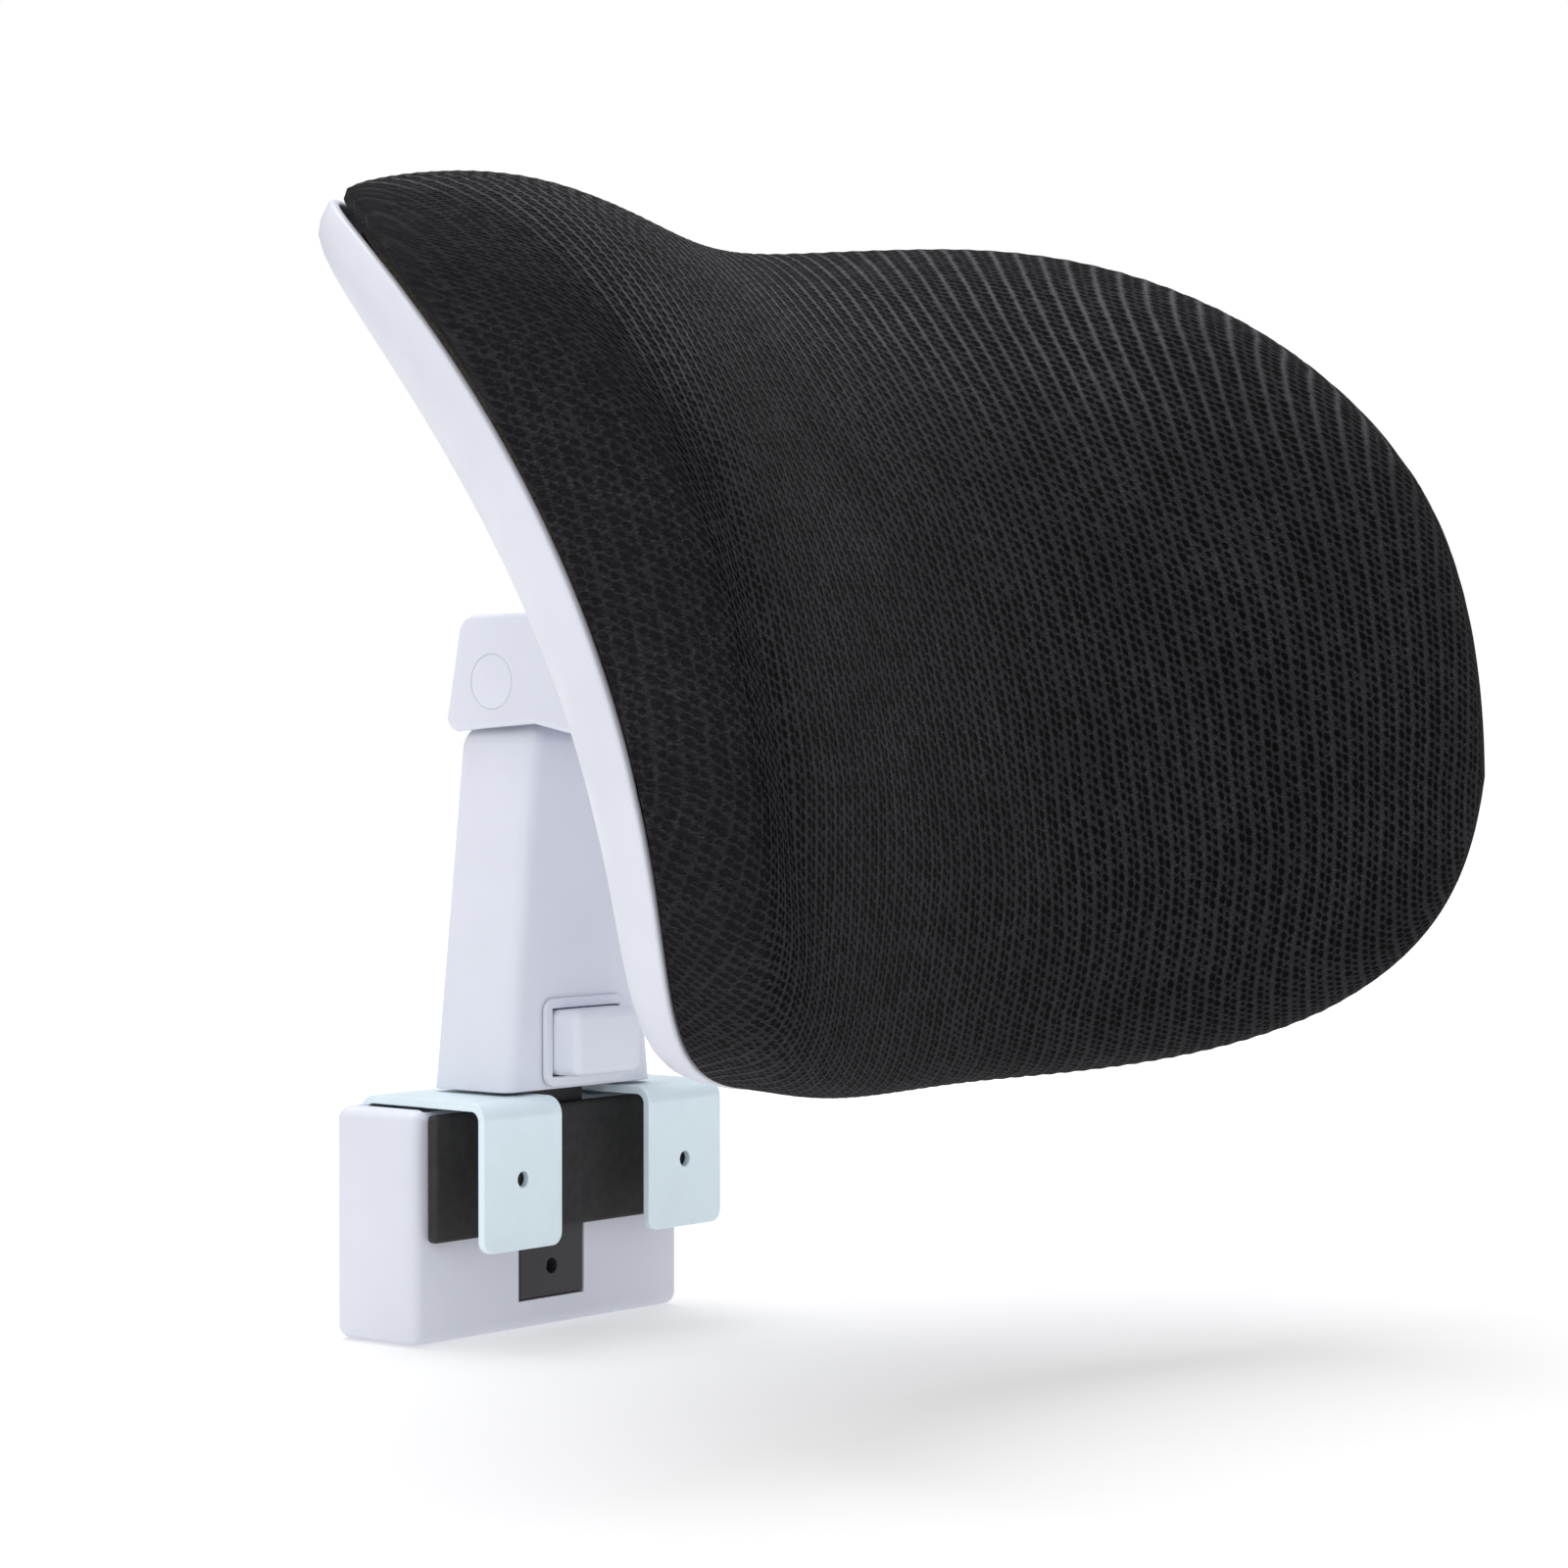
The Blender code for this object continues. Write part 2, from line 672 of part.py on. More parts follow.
def weigh_edges(piece, weight_of):
    """Bevel weight for each edge, from a function of its two ends."""
    mesh = piece.data
    weights = mesh.attributes.new("bevel_weight_edge", "FLOAT", "EDGE")
    for edge in mesh.edges:
        weights.data[edge.index].value = weight_of(*(mesh.vertices[v].co for v in edge.vertices))


def stem_housing():
    """Front, sides and top of the stem. Its foot is open, and so is its back up to the rear cover's top."""
    housing = tapered_block("stem_housing", STEM_FRONT, STEM_REAR, STEM_BOTTOM, STEM_TOP, 0.0, "white_plastic")

    def weight(a, b):
        if max(a.z, b.z) < STEM_BOTTOM + 0.001:
            return 0.0
        if min(a.z, b.z) > STEM_TOP - 0.001:
            return 1.0
        return (STEM_REAR_EDGE if min(a.y, b.y) > 0 else STEM_SIDE_EDGE) / STEM_TOP_EDGE

    weigh_edges(housing, weight)
    bevel(housing, STEM_TOP_EDGE, 4)
    housing.modifiers[-1].limit_method = "WEIGHT"
    front, inner_rear = STEM_FRONT + STEM_WALL, STEM_REAR - COVER_THICKNESS
    cut(housing, tapered_block("stem hollow", front, inner_rear, 0.0, STEM_TOP - STEM_WALL, STEM_WALL))
    cut(housing, tapered_block("rear opening", 0.0, 0.03, 0.0, COVER_TOP + GAP, STEM_WALL))
    neck_x, neck_y = KNUCKLE_HALF_WIDTH + 2 * GAP, NECK_HALF_DEPTH + 2 * GAP
    cut(housing, block("neck opening", (-neck_x, TILT_Y - neck_y, 0.09), (neck_x, TILT_Y + neck_y, 0.12)))
    opening_low = (-BUTTON_HALF_WIDTH - GAP, -0.02, BUTTON_BOTTOM - GAP)
    opening_high = (BUTTON_HALF_WIDTH + GAP, 0.0, BUTTON_TOP + GAP)
    cut(housing, block("button opening", opening_low, opening_high))
    for side, (x, z) in enumerate(boss_points(), 1):
        tip = (x, inner_rear - GAP, z)
        root = (x, STEM_FRONT + 0.001, z)
        join(housing, rod(f"stem boss {side}", root, tip, STEM_BOSS_RADIUS, sides=16))
        cut(housing, rod(f"stem boss hole {side}", (x, 0.004, z), (x, 0.03, z), SCREW_RADIUS, sides=12))
    return housing


def boss_points():
    x = stem_half_width(STEM_BOSS_Z) - STEM_WALL - STEM_BOSS_RADIUS - GAP
    return [(-x, STEM_BOSS_Z), (x, STEM_BOSS_Z)]


def neck_screw_points():
    return [(-NECK_SCREW_X, NECK_SCREW_Z), (NECK_SCREW_X, NECK_SCREW_Z)]


def stem_rear_cover():
    rear_low = STEM_REAR - COVER_THICKNESS
    inset = STEM_WALL + GAP
    size = (rear_low, STEM_REAR, STEM_BOTTOM, COVER_TOP, inset)
    cover = tapered_block("stem_rear_cover", *size, "white_plastic")
    bevel(cover, 0.0005, 2)
    for i, (x, z) in enumerate(boss_points() + neck_screw_points(), 1):
        cut(cover, rod(f"cover hole {i}", (x, 0.01, z), (x, 0.03, z), 0.0016, sides=12))
        cut(cover, rod(f"cover seat {i}", (x, STEM_REAR - 0.0011, z), (x, 0.03, z), 0.0029, sides=16))
    return cover


def stem_screws():
    mesh = screw_mesh("stem screw", 0.0026, 0.0014, 0.0012, STEM_SCREW_LENGTH, "cross", "bright_steel")
    points = boss_points() + neck_screw_points()
    y = STEM_REAR - 0.0008
    return [place(f"stem_screw_{i}", mesh, (x, y, z), (0, 1, 0)) for i, (x, z) in enumerate(points, 1)]


def pivot_block():
    """The stem's head: a round eye for the axle, a neck and a foot held under the stem's top."""
    reach = math.degrees(math.acos(NECK_HALF_DEPTH / KNUCKLE_RADIUS))
    eye = arc((TILT_Y, TILT_Z), KNUCKLE_RADIUS, -reach, 180 + reach, 20)
    ceiling = STEM_TOP - STEM_WALL - GAP
    front, rear = STEM_FRONT + STEM_WALL + GAP, STEM_REAR - COVER_THICKNESS - GAP
    foot = [
        (TILT_Y - NECK_HALF_DEPTH, ceiling),
        (front, ceiling),
        (front, NECK_FLOOR),
        (rear, NECK_FLOOR),
        (rear, ceiling),
        (TILT_Y + NECK_HALF_DEPTH, ceiling),
    ]
    pivot = side_profile("pivot_block", eye + foot, -KNUCKLE_HALF_WIDTH, KNUCKLE_HALF_WIDTH, "black_plastic")
    cut(pivot, rod("eye hole", (-0.03, TILT_Y, TILT_Z), (0.03, TILT_Y, TILT_Z), AXLE_RADIUS + GAP))
    for i, (x, z) in enumerate(neck_screw_points(), 1):
        cut(pivot, rod(f"neck hole {i}", (x, TILT_Y, z), (x, 0.03, z), SCREW_RADIUS, sides=12))
    return pivot


def button_bezel():
    low = (-BUTTON_HALF_WIDTH - BEZEL, STEM_FRONT - GAP - BEZEL_PROUD, BUTTON_BOTTOM - BEZEL)
    high = (BUTTON_HALF_WIDTH + BEZEL, STEM_FRONT - GAP, BUTTON_TOP + BEZEL)
    bezel = block("button_bezel", low, high, "white_plastic")
    weigh_edges(bezel, lambda a, b: 1.0 if abs(a.y - b.y) > 0.0005 else 0.0)
    bevel(bezel, 0.0030, 4)
    bezel.modifiers[-1].limit_method = "WEIGHT"
    hole_low = (-BUTTON_HALF_WIDTH - GAP, -0.03, BUTTON_BOTTOM - GAP)
    hole_high = (BUTTON_HALF_WIDTH + GAP, 0.03, BUTTON_TOP + GAP)
    cut(bezel, block("bezel hole", hole_low, hole_high))
    return bezel


def release_button():
    rear = STEM_FRONT + STEM_WALL + GAP
    low, high = (-BUTTON_HALF_WIDTH, BUTTON_FRONT, BUTTON_BOTTOM), (BUTTON_HALF_WIDTH, rear, BUTTON_TOP)
    return block("release_button", low, high, "white_plastic", edge=0.0022, segments=3)


def latch_plate():
    """A frame round the mast. It holds the brake on the mast until the button pushes the frame back."""
    low_z, high_z = LATCH_Z - LATCH_HALF_THICKNESS, LATCH_Z + LATCH_HALF_THICKNESS
    front = STEM_FRONT + STEM_WALL + 2 * GAP
    side = 0.0150
    low, high = (-LATCH_WING, front, low_z), (LATCH_WING, front + 0.0028, high_z)
    latch = block("latch_plate", low, high, "black_plastic")
    join(latch, block("latch sides", (-side, front + 0.001, low_z), (side, 0.0121, high_z)))
    window_low = (-MAST_HALF_WIDTH - 0.0006, front + 0.0028, 0.0)
    window_high = (MAST_HALF_WIDTH + 0.0006, LATCH_WINDOW_REAR, 0.05)
    cut(latch, block("latch window", window_low, window_high))
    return latch


def brake_pad():
    """A rubber block in the mast's track, pressed on it by the latch plate."""
    half_height = LATCH_HALF_THICKNESS - GAP
    low = (-BRAKE_HALF_WIDTH, MAST_REAR - TRACK_DEPTH + GAP, LATCH_Z - half_height)
    high = (BRAKE_HALF_WIDTH, LATCH_WINDOW_REAR - GAP, LATCH_Z + half_height)
    return block("brake_pad", low, high, "rubber")


def coil(name, x, start, end, radius, wire, turns, finish):
    """A round-wire spring along Y, drawn as points on a helix."""
    curve = bpy.data.curves.new(name, "CURVE")
    curve.dimensions = "3D"
    curve.bevel_depth = wire
    curve.bevel_resolution = 2
    curve.render_resolution_u = 0
    curve.use_fill_caps = True
    spline = curve.splines.new("POLY")
    count = turns * 8
    spline.points.add(count)
    for i, point in enumerate(spline.points):
        angle = 2 * math.pi * turns * i / count
        y = start + (end - start) * i / count
        point.co = (x + radius * math.cos(angle), y, LATCH_Z + radius * math.sin(angle), 1.0)
    curve.materials.append(look(finish))
    spring = bpy.data.objects.new(name, curve)
    PARTS.objects.link(spring)
    return spring


def button_springs():
    form = (0.0006, 0.0140, SPRING_RADIUS, SPRING_WIRE, 4, "bright_steel")
    sides = (("left", -1), ("right", 1))
    return [coil(f"button_spring_{word}", side * SPRING_X, *form) for word, side in sides]


# Base pieces


def mast():
    rail = block(
        "mast",
        (-MAST_HALF_WIDTH, MAST_FRONT, MAST_BOTTOM),
        (MAST_HALF_WIDTH, MAST_REAR, MAST_TOP),
        "black_plastic",
        edge=0.0006,
    )
    # The track's ends stop the brake at both ends of the stem's travel.
    track_low = (-TRACK_HALF_WIDTH, MAST_REAR - TRACK_DEPTH, LATCH_Z - LATCH_HALF_THICKNESS)
    track_high = (TRACK_HALF_WIDTH, MAST_REAR + 0.002, LATCH_Z + STEM_TRAVEL + LATCH_HALF_THICKNESS)
    cut(rail, block("brake track", track_low, track_high))
    for i, z in enumerate(MAST_SCREW_HEIGHTS, 1):
        cut(rail, rod(f"mast hole {i}", (0, 0.0, z), (0, 0.02, z), SCREW_HOLE, sides=12))
    return rail


def mast_screws():
    mesh = screw_mesh("mast screw", 0.0036, 0.0022, 0.0016, MAST_SCREW_LENGTH, "cross", "bright_steel")
    places = [(0, MAST_SCREW_Y, z) for z in MAST_SCREW_HEIGHTS]
    return [place(f"mast_screw_{i}", mesh, position, (0, 1, 0)) for i, position in enumerate(places, 1)]


def base_housing():
    low, high = (-BASE_HALF_WIDTH, BASE_FRONT, BASE_BOTTOM), (BASE_HALF_WIDTH, BASE_REAR, BASE_TOP)
    housing = block("base_housing", low, high, "white_plastic", edge=0.0030, segments=3)
    half = HOOK_WIDTH / 2 + GAP
    for side, word in ((-1, "left"), (1, "right")):
        centre = side * HOOK_X
        pocket_low = (centre - half, POCKET_FRONT, POCKET_BOTTOM)
        cut(housing, block(f"hook pocket {word}", pocket_low, (centre + half, POCKET_REAR, 0.03)))
        hole_start, hole_end = (centre, 0.02, CLAMP_Z), (centre, 0.04, CLAMP_Z)
        cut(housing, rod(f"clamp hole {word}", hole_start, hole_end, CLAMP_RADIUS + GAP))
    channel = MAST_HALF_WIDTH + GAP
    channel_low = (-channel, 0.0, MAST_BOTTOM - GAP)
    cut(housing, block("mast channel", channel_low, (channel, MAST_REAR + GAP, 0.03)))
    for i, z in enumerate(MAST_SCREW_HEIGHTS, 1):
        seat = (0, MAST_SCREW_Y - GAP, z)
        cut(housing, rod(f"mast screw hole {i}", (0, 0.005, z), (0, 0.04, z), SCREW_HOLE, sides=12))
        cut(housing, rod(f"mast screw seat {i}", seat, (0, 0.04, z), SCREW_SEAT, sides=16))
    return housing


def jaw_pad():
    half_width, half_height = JAW_PAD_HALF_WIDTH, JAW_PAD_HALF_HEIGHT
    low, high = (-half_width, 0.0, -half_height), (half_width, BASE_FRONT - GAP, half_height)
    return block("jaw_pad", low, high, "rubber", edge=0.0008)


def hook_path():
    """Y and Z along the middle of the hook's sheet, from the front leg's foot over to the rear leg's."""
    front = -(SLOT + HOOK_PAD + GAP + HOOK_SHEET / 2)
    top = HOOK_TOP - HOOK_SHEET / 2
    over = arc((front + HOOK_BEND, top - HOOK_BEND), HOOK_BEND, 180, 90, 5)
    down = arc((HOOK_REAR_Y - HOOK_BEND, top - HOOK_BEND), HOOK_BEND, 90, 0, 5)
    return [(front, HOOK_FRONT_BOTTOM), *over, *down, (HOOK_REAR_Y, HOOK_REAR_BOTTOM)]


def hook(word, centre):
    """A bent strip with rounded corners, a small hole in its front leg and the clamp screw's in its rear."""
    form = bmesh.new()
    rows = []
    for y, z in hook_path():
        rows.append([form.verts.new((centre + s * HOOK_WIDTH / 2, y, z)) for s in (-1, 1)])
    for lower, upper in zip(rows, rows[1:]):
        form.faces.new((lower[0], lower[1], upper[1], upper[0]))
    corners = [*rows[0], *rows[-1]]
    bmesh.ops.bevel(form, geom=corners, offset=HOOK_CORNER, segments=4, profile=0.5, affect="VERTICES")
    strip = from_form(f"hook_{word}", form, "zinc_steel", smooth=True)
    thicken(strip, HOOK_SHEET, 0)
    cut(strip, rod(f"front hole {word}", (centre, -0.03, 0), (centre, 0.0, 0), HOOK_HOLE, sides=20))
    hole_start, hole_end = (centre, 0.015, CLAMP_Z), (centre, 0.04, CLAMP_Z)
    cut(strip, rod(f"rear hole {word}", hole_start, hole_end, CLAMP_RADIUS + GAP))
    bevel(strip, 0.0003, 1, angle=60)
    return strip


def hook_pieces(word, side):
    centre = side * HOOK_X
    half_width, half_height = HOOK_PAD_HALF_WIDTH, HOOK_PAD_HALF_HEIGHT
    pad_low = (centre - half_width, -(SLOT + HOOK_PAD), -half_height)
    pad = block(f"hook_pad_{word}", pad_low, (centre + half_width, -SLOT, half_height), "rubber")
    nut_y = HOOK_REAR_Y - HOOK_SHEET / 2 - GAP - CLAMP_NUT_THICKNESS / 2
    nut = washer(
        f"clamp_nut_{word}",
        (centre, nut_y, CLAMP_Z),
        (0, 1, 0),
        CLAMP_RADIUS + GAP,
        NUT_RADIUS,
        CLAMP_NUT_THICKNESS,
        "bright_steel",
        sides=6,
    )
    return [hook(word, centre), pad, nut]


def clamp_washer(word, side):
    centre = (side * HOOK_X, BASE_REAR + GAP + WASHER / 2, CLAMP_Z)
    hole = CLAMP_RADIUS + GAP
    return washer(f"clamp_washer_{word}", centre, (0, 1, 0), hole, CLAMP_WASHER_RADIUS, WASHER, "bright_steel")


def clamp_screw_mesh():
    head = (CLAMP_HEAD_RADIUS, CLAMP_HEAD_HEIGHT)
    return screw_mesh("clamp screw", *head, CLAMP_RADIUS, CLAMP_LENGTH, "hex", "bright_steel")


# Assembly


def body(name, axis_point, pieces):
    """An empty on the body's joint axis, with the body's pieces under it."""
    carrier = bpy.data.objects.new(name, None)
    carrier.empty_display_size = 0.02
    carrier.location = axis_point
    PARTS.objects.link(carrier)
    for piece in pieces:
        piece.parent = carrier
        piece.matrix_parent_inverse = Matrix.Translation(-Vector(axis_point))
    return carrier


def build():
    sides = (("left", -1), ("right", 1))
    washers = [clamp_washer(word, side) for word, side in sides]
    body("base frame", (0, 0, 0), [base_housing(), jaw_pad(), mast(), *mast_screws(), *washers])
    clamp_mesh = clamp_screw_mesh()
    for word, side in sides:
        clamp_point = (side * HOOK_X, BASE_REAR + WASHER + 2 * GAP, CLAMP_Z)
        body(f"hook {word} slide", (side * HOOK_X, 0, 0), hook_pieces(word, side))
        screw = place(f"clamp_screw_{word}", clamp_mesh, clamp_point, (0, 1, 0))
        body(f"clamp {word} turn", clamp_point, [screw])
    stem_parts = [stem_housing(), stem_rear_cover(), pivot_block(), button_bezel(), *stem_screws()]
    body("stem slide", (0, TILT_Y, STEM_BOTTOM), stem_parts)
    body("button slide", (0, BUTTON_FRONT, LATCH_Z), [release_button(), latch_plate(), brake_pad(), *button_springs()])
    cushion = [cushion_cover(), foam_pad(), support_board(), rear_shell(), *shell_screws()]
    body("headrest tilt", (0, TILT_Y, TILT_Z), [*cushion, tilt_arm(), *arm_screws(), *tilt_hardware()])


clear_scene()
PARTS = collection("chair_headrest")
CUTTERS = collection("cutters")
build()
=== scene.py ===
"""Finished look of the clamp-on chair headrest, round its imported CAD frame.

Fine pieces stand for the CAD's coarse or plain ones, and the small hardware keeps its CAD meshes. Every
surface gets a procedural material. Metres, +Z up, the front faces -Y, as in the CAD.
"""
import json
import math

import bmesh
import bpy
import numpy as np
from mathutils import Matrix, Vector


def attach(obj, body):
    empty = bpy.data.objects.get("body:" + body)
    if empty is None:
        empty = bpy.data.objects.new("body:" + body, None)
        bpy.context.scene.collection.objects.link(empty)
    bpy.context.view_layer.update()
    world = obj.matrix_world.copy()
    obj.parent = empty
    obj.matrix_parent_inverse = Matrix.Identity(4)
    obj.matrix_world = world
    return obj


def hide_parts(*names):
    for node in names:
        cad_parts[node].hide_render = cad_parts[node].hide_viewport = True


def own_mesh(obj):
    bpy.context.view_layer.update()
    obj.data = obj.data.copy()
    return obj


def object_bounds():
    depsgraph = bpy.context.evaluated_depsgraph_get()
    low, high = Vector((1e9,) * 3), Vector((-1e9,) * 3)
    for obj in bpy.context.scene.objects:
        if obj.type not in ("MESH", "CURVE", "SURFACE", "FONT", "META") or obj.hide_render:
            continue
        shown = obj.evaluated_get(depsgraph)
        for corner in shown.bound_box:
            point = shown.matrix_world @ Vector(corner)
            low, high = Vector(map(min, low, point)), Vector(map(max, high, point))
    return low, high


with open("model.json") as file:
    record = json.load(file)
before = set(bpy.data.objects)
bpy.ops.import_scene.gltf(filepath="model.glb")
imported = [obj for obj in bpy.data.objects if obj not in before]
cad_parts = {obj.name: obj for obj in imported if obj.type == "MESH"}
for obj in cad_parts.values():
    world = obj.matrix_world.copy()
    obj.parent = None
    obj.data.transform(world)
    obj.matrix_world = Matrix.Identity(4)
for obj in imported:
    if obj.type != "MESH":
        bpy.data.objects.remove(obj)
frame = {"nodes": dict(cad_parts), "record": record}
CAD_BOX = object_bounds()

# The CAD's own sizes. Each name means what it does there.
GAP = 0.0003
HOOK_X = 0.0281
HOOK_WIDTH = 0.026
HOOK_SHEET = 0.002
HOOK_TOP = 0.018
HOOK_FRONT_Y = -0.013
HOOK_FRONT_BOTTOM = -0.016
HOOK_REAR_BOTTOM = -0.020
HOOK_REAR_Y = 0.0243
HOOK_BEND = 0.0032
HOOK_CORNER = 0.003
HOOK_HOLE = 0.0018
BASE_LOW = (-0.046, 0.0033, -0.038)
BASE_HIGH = (0.046, 0.029, 0.0155)
POCKET_FRONT = 0.0048
POCKET_REAR = 0.026
POCKET_BOTTOM = -0.026
CLAMP_Z = -0.006
CLAMP_RADIUS = 0.003
CLAMP_SCREW_Y = 0.0306
MAST_REAR = 0.0083
MAST_HALF_WIDTH = 0.011
MAST_BOTTOM = -0.031
MAST_SCREW_HEIGHTS = (-0.0080, -0.0240)
MAST_SCREW_Y = 0.0258
STEM_FRONT = -0.0064
STEM_REAR = 0.017
STEM_BOTTOM = 0.0188
STEM_TOP = 0.1034
STEM_BOTTOM_HALF_WIDTH = 0.0255
STEM_TOP_HALF_WIDTH = 0.0155
STEM_WALL = 0.0024
STEM_TOP_EDGE = 0.0050
STEM_SIDE_EDGE = 0.0035
STEM_REAR_EDGE = 0.0015
COVER_THICKNESS = 0.0022
COVER_TOP = 0.0962
STEM_BOSS_Z = 0.050
STEM_BOSS_RADIUS = 0.0032
NECK_HALF_DEPTH = 0.0060
NECK_SCREW_X = 0.0036
NECK_SCREW_Z = 0.0925
BUTTON_HALF_WIDTH = 0.0113
BUTTON_BOTTOM = 0.0220
BUTTON_TOP = 0.0372
BUTTON_FRONT = -0.0154
SPRING_X = 0.0182
SPRING_Z = 0.0290
SPRING_FRONT = 0.0006
SPRING_REAR = 0.0140
SPRING_RADIUS = 0.0018
SPRING_WIRE = 0.0003
SPRING_TURNS = 4
BEZEL = 0.0026
BEZEL_PROUD = 0.0012
TILT_Y = 0.0055
TILT_Z = 0.1130
AXLE_RADIUS = 0.003
KNUCKLE_RADIUS = 0.0102
KNUCKLE_HALF_WIDTH = 0.007
ARM_HALF_WIDTH = 0.018
SLOT_HALF_WIDTH = 0.0086
HOOD_HALF_WIDTH = 0.0166
HOOD_FRONT = 0.0160
HOOD_REAR = 0.0133
HOOD_CEILING = 0.0072
AXLE_RECESS_X = 0.0118
AXLE_RECESS_RADIUS = 0.0064
AXLE_PLUG_X = 0.0165
HALF_WIDTH = 0.1325
TOP_RISE = 0.1370
BOTTOM_DROP = 0.0675
MIDDLE_Z = 0.0910
SEAM_Y = -0.0880
TOP_POWER = 3.4
BOTTOM_POWER = 3.3
FLARE = 0.13
EAR_DIP = 0.0165
BOTTOM_SAG = -0.0025
LEAN = 0.35
CURL = 3.5
WING = 0.0510
WING_TWIST = 0.07
PAD_DEPTH = 0.0520
PAD_DEPTH_RISE = 0.177
PAD_DEPTH_CURVE = 1.88
PAD_POWER = 3.5
PAD_BULGE = 0.040
PAD_INSET_REACH = 0.070
SHELL_DEPTH = 0.0150
SHELL_POWER = 5.0
SHELL_WALL = 0.0024
COVER_SKIN = 0.0018
LAND_HEIGHT = 0.025
LAND_HALF_WIDTH = 0.028
LAND_HALF_LENGTH = 0.021
LAND_DEPTH = 0.0186
FLANGE = 0.0045
FLANGE_SCREW_INSET = 0.0065
SCREW_RADIUS = 0.0015
SCREW_HOLE = 0.0019
SCREW_SEAT = 0.0040
SHELL_SCREW_DEPTH = 0.0125
SHELL_SCREW_X = 0.068
SHELL_SCREW_HEIGHTS = (-0.028, 0.048)

# A typical section of the cushion, which sets where the rows of a crowned grid go.
CROWN_WIDTH = 0.115
CROWN_DEPTH = 0.055

# The cover's fine shape: extra fullness at the ears and flanks, and the swell of the cloth over its foam.
EAR_FULLNESS = 0.03
FLANK_FULLNESS = 0.35
COVER_COLUMNS = 520
COVER_ROWS = 150
LINING_REACHES = (1.0, 0.9, 0.78, 0.6, 0.3)
SWELL_COLUMNS = 64
SWELL_ROWS = 48
SWELL_FRAMES = 20
SWELL_STIFFNESS = 15
SWELL_START = 0.0003
SWELL_SMOOTHING = 8
SWELL_LEAST = -0.0006
SWELL_CAP = 0.0026

# Knitted spacer fabric: cords run up the cushion, with two files of small holes between neighbours.
CORD_PITCH = 0.0050
CORD_HEIGHT = 0.00022
CORD_FAN = 0.12
CORD_LEAN = 0.8
HOLE_ROW = 0.0024
HOLE_FILES = (0.29, 0.71)
HOLE_HALF_WIDTHS = (0.19, 0.26)
HOLE_HALF_HEIGHT = 0.39
TURN_SOFTNESS = 0.15

# How far the tools that cut openings reach past the arm, the stem and the base.
PAST_ARM = 0.03
BEHIND_STEM = 0.03
BEHIND_BASE = 0.04
ABOVE_BASE = 0.03
SIDES = (("left", -1), ("right", 1))
CUTTERS = []

FLOOR_RADIUS = 6.0
CAMERA_EYE = (-0.693, -0.633, 0.1037)
CAMERA_LENS = 92
LIGHTS_AIM = (0, 0, 0.08)
SURROUND_LIGHT = 0.46


# Mesh tools


def add(name, data):
    piece = bpy.data.objects.new(name, data)
    bpy.context.scene.collection.objects.link(piece)
    return piece


def aim(piece, direction):
    """Turns a piece so that its own +Z points along a direction."""
    piece.rotation_mode = "QUATERNION"
    piece.rotation_quaternion = direction.to_track_quat("Z", "Y")


def finished(piece):
    """The piece with its modifiers worked out."""
    return piece.evaluated_get(bpy.context.evaluated_depsgraph_get())


def from_form(name, form):
    """An object made from a bmesh, which is used up."""
    mesh = bpy.data.meshes.new(name)
    form.to_mesh(mesh)
    form.free()
    return add(name, mesh)


def bevel(piece, width, segments, angle=40):
    rounding = piece.modifiers.new("rounded edges", "BEVEL")
    rounding.width = width
    rounding.segments = segments
    rounding.limit_method = "ANGLE"
    rounding.angle_limit = math.radians(angle)


def block(name, low, high, edge=0.0, segments=6):
    """A box between two corners, its edges rounded by edge."""
    low, high = Vector(low), Vector(high)
    form = bmesh.new()
    bmesh.ops.create_cube(form, size=1.0)
    bmesh.ops.scale(form, vec=high - low, verts=form.verts)
    piece = from_form(name, form)
    piece.location = (low + high) / 2
    if edge:
        bevel(piece, edge, segments)
    return piece


def rod(name, start, end, radius, sides=40):
    """A round bar between two points."""
    start, end = Vector(start), Vector(end)
    run = end - start
    form = bmesh.new()
    size = {"radius1": radius, "radius2": radius, "depth": run.length}
    bmesh.ops.create_cone(form, cap_ends=True, segments=sides, **size)
    piece = from_form(name, form)
    piece.location = (start + end) / 2
    aim(piece, run)
    return piece


def combine(piece, operation, others):
    """Adds Boolean steps. The other objects are tools, which settle removes."""
    for other in others:
        step = piece.modifiers.new(other.name, "BOOLEAN")
        step.operation = operation
        step.solver = "EXACT"
        step.object = other
        CUTTERS.append(other)


def cut(piece, *others):
    combine(piece, "DIFFERENCE", others)


def join(piece, *others):
    combine(piece, "UNION", others)


def settle(piece):
    """Applies the piece's modifiers, and removes the tools that they used."""
    bpy.context.view_layer.update()
    mesh = bpy.data.meshes.new_from_object(finished(piece))
    piece.modifiers.clear()
    piece.data = mesh
    mesh.name = piece.name
    while CUTTERS:
        bpy.data.objects.remove(CUTTERS.pop(), do_unlink=True)


def dress(piece, slot, body, *nodes, sharp=30, flat_faces=False):
    """Gives a piece its material, its smooth shading and its body, and hides the CAD nodes that it stands
    for.
    """
    piece.data.materials.clear()
    piece.data.materials.append(MATERIALS[slot])
    piece.data.shade_smooth()
    piece.data.set_sharp_from_angle(angle=math.radians(sharp))
    if flat_faces:
        even = piece.modifiers.new("even shading", "WEIGHTED_NORMAL")
        even.keep_sharp = True
    bpy.context.view_layer.update()
    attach(piece, body)
    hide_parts(*nodes)
    return piece


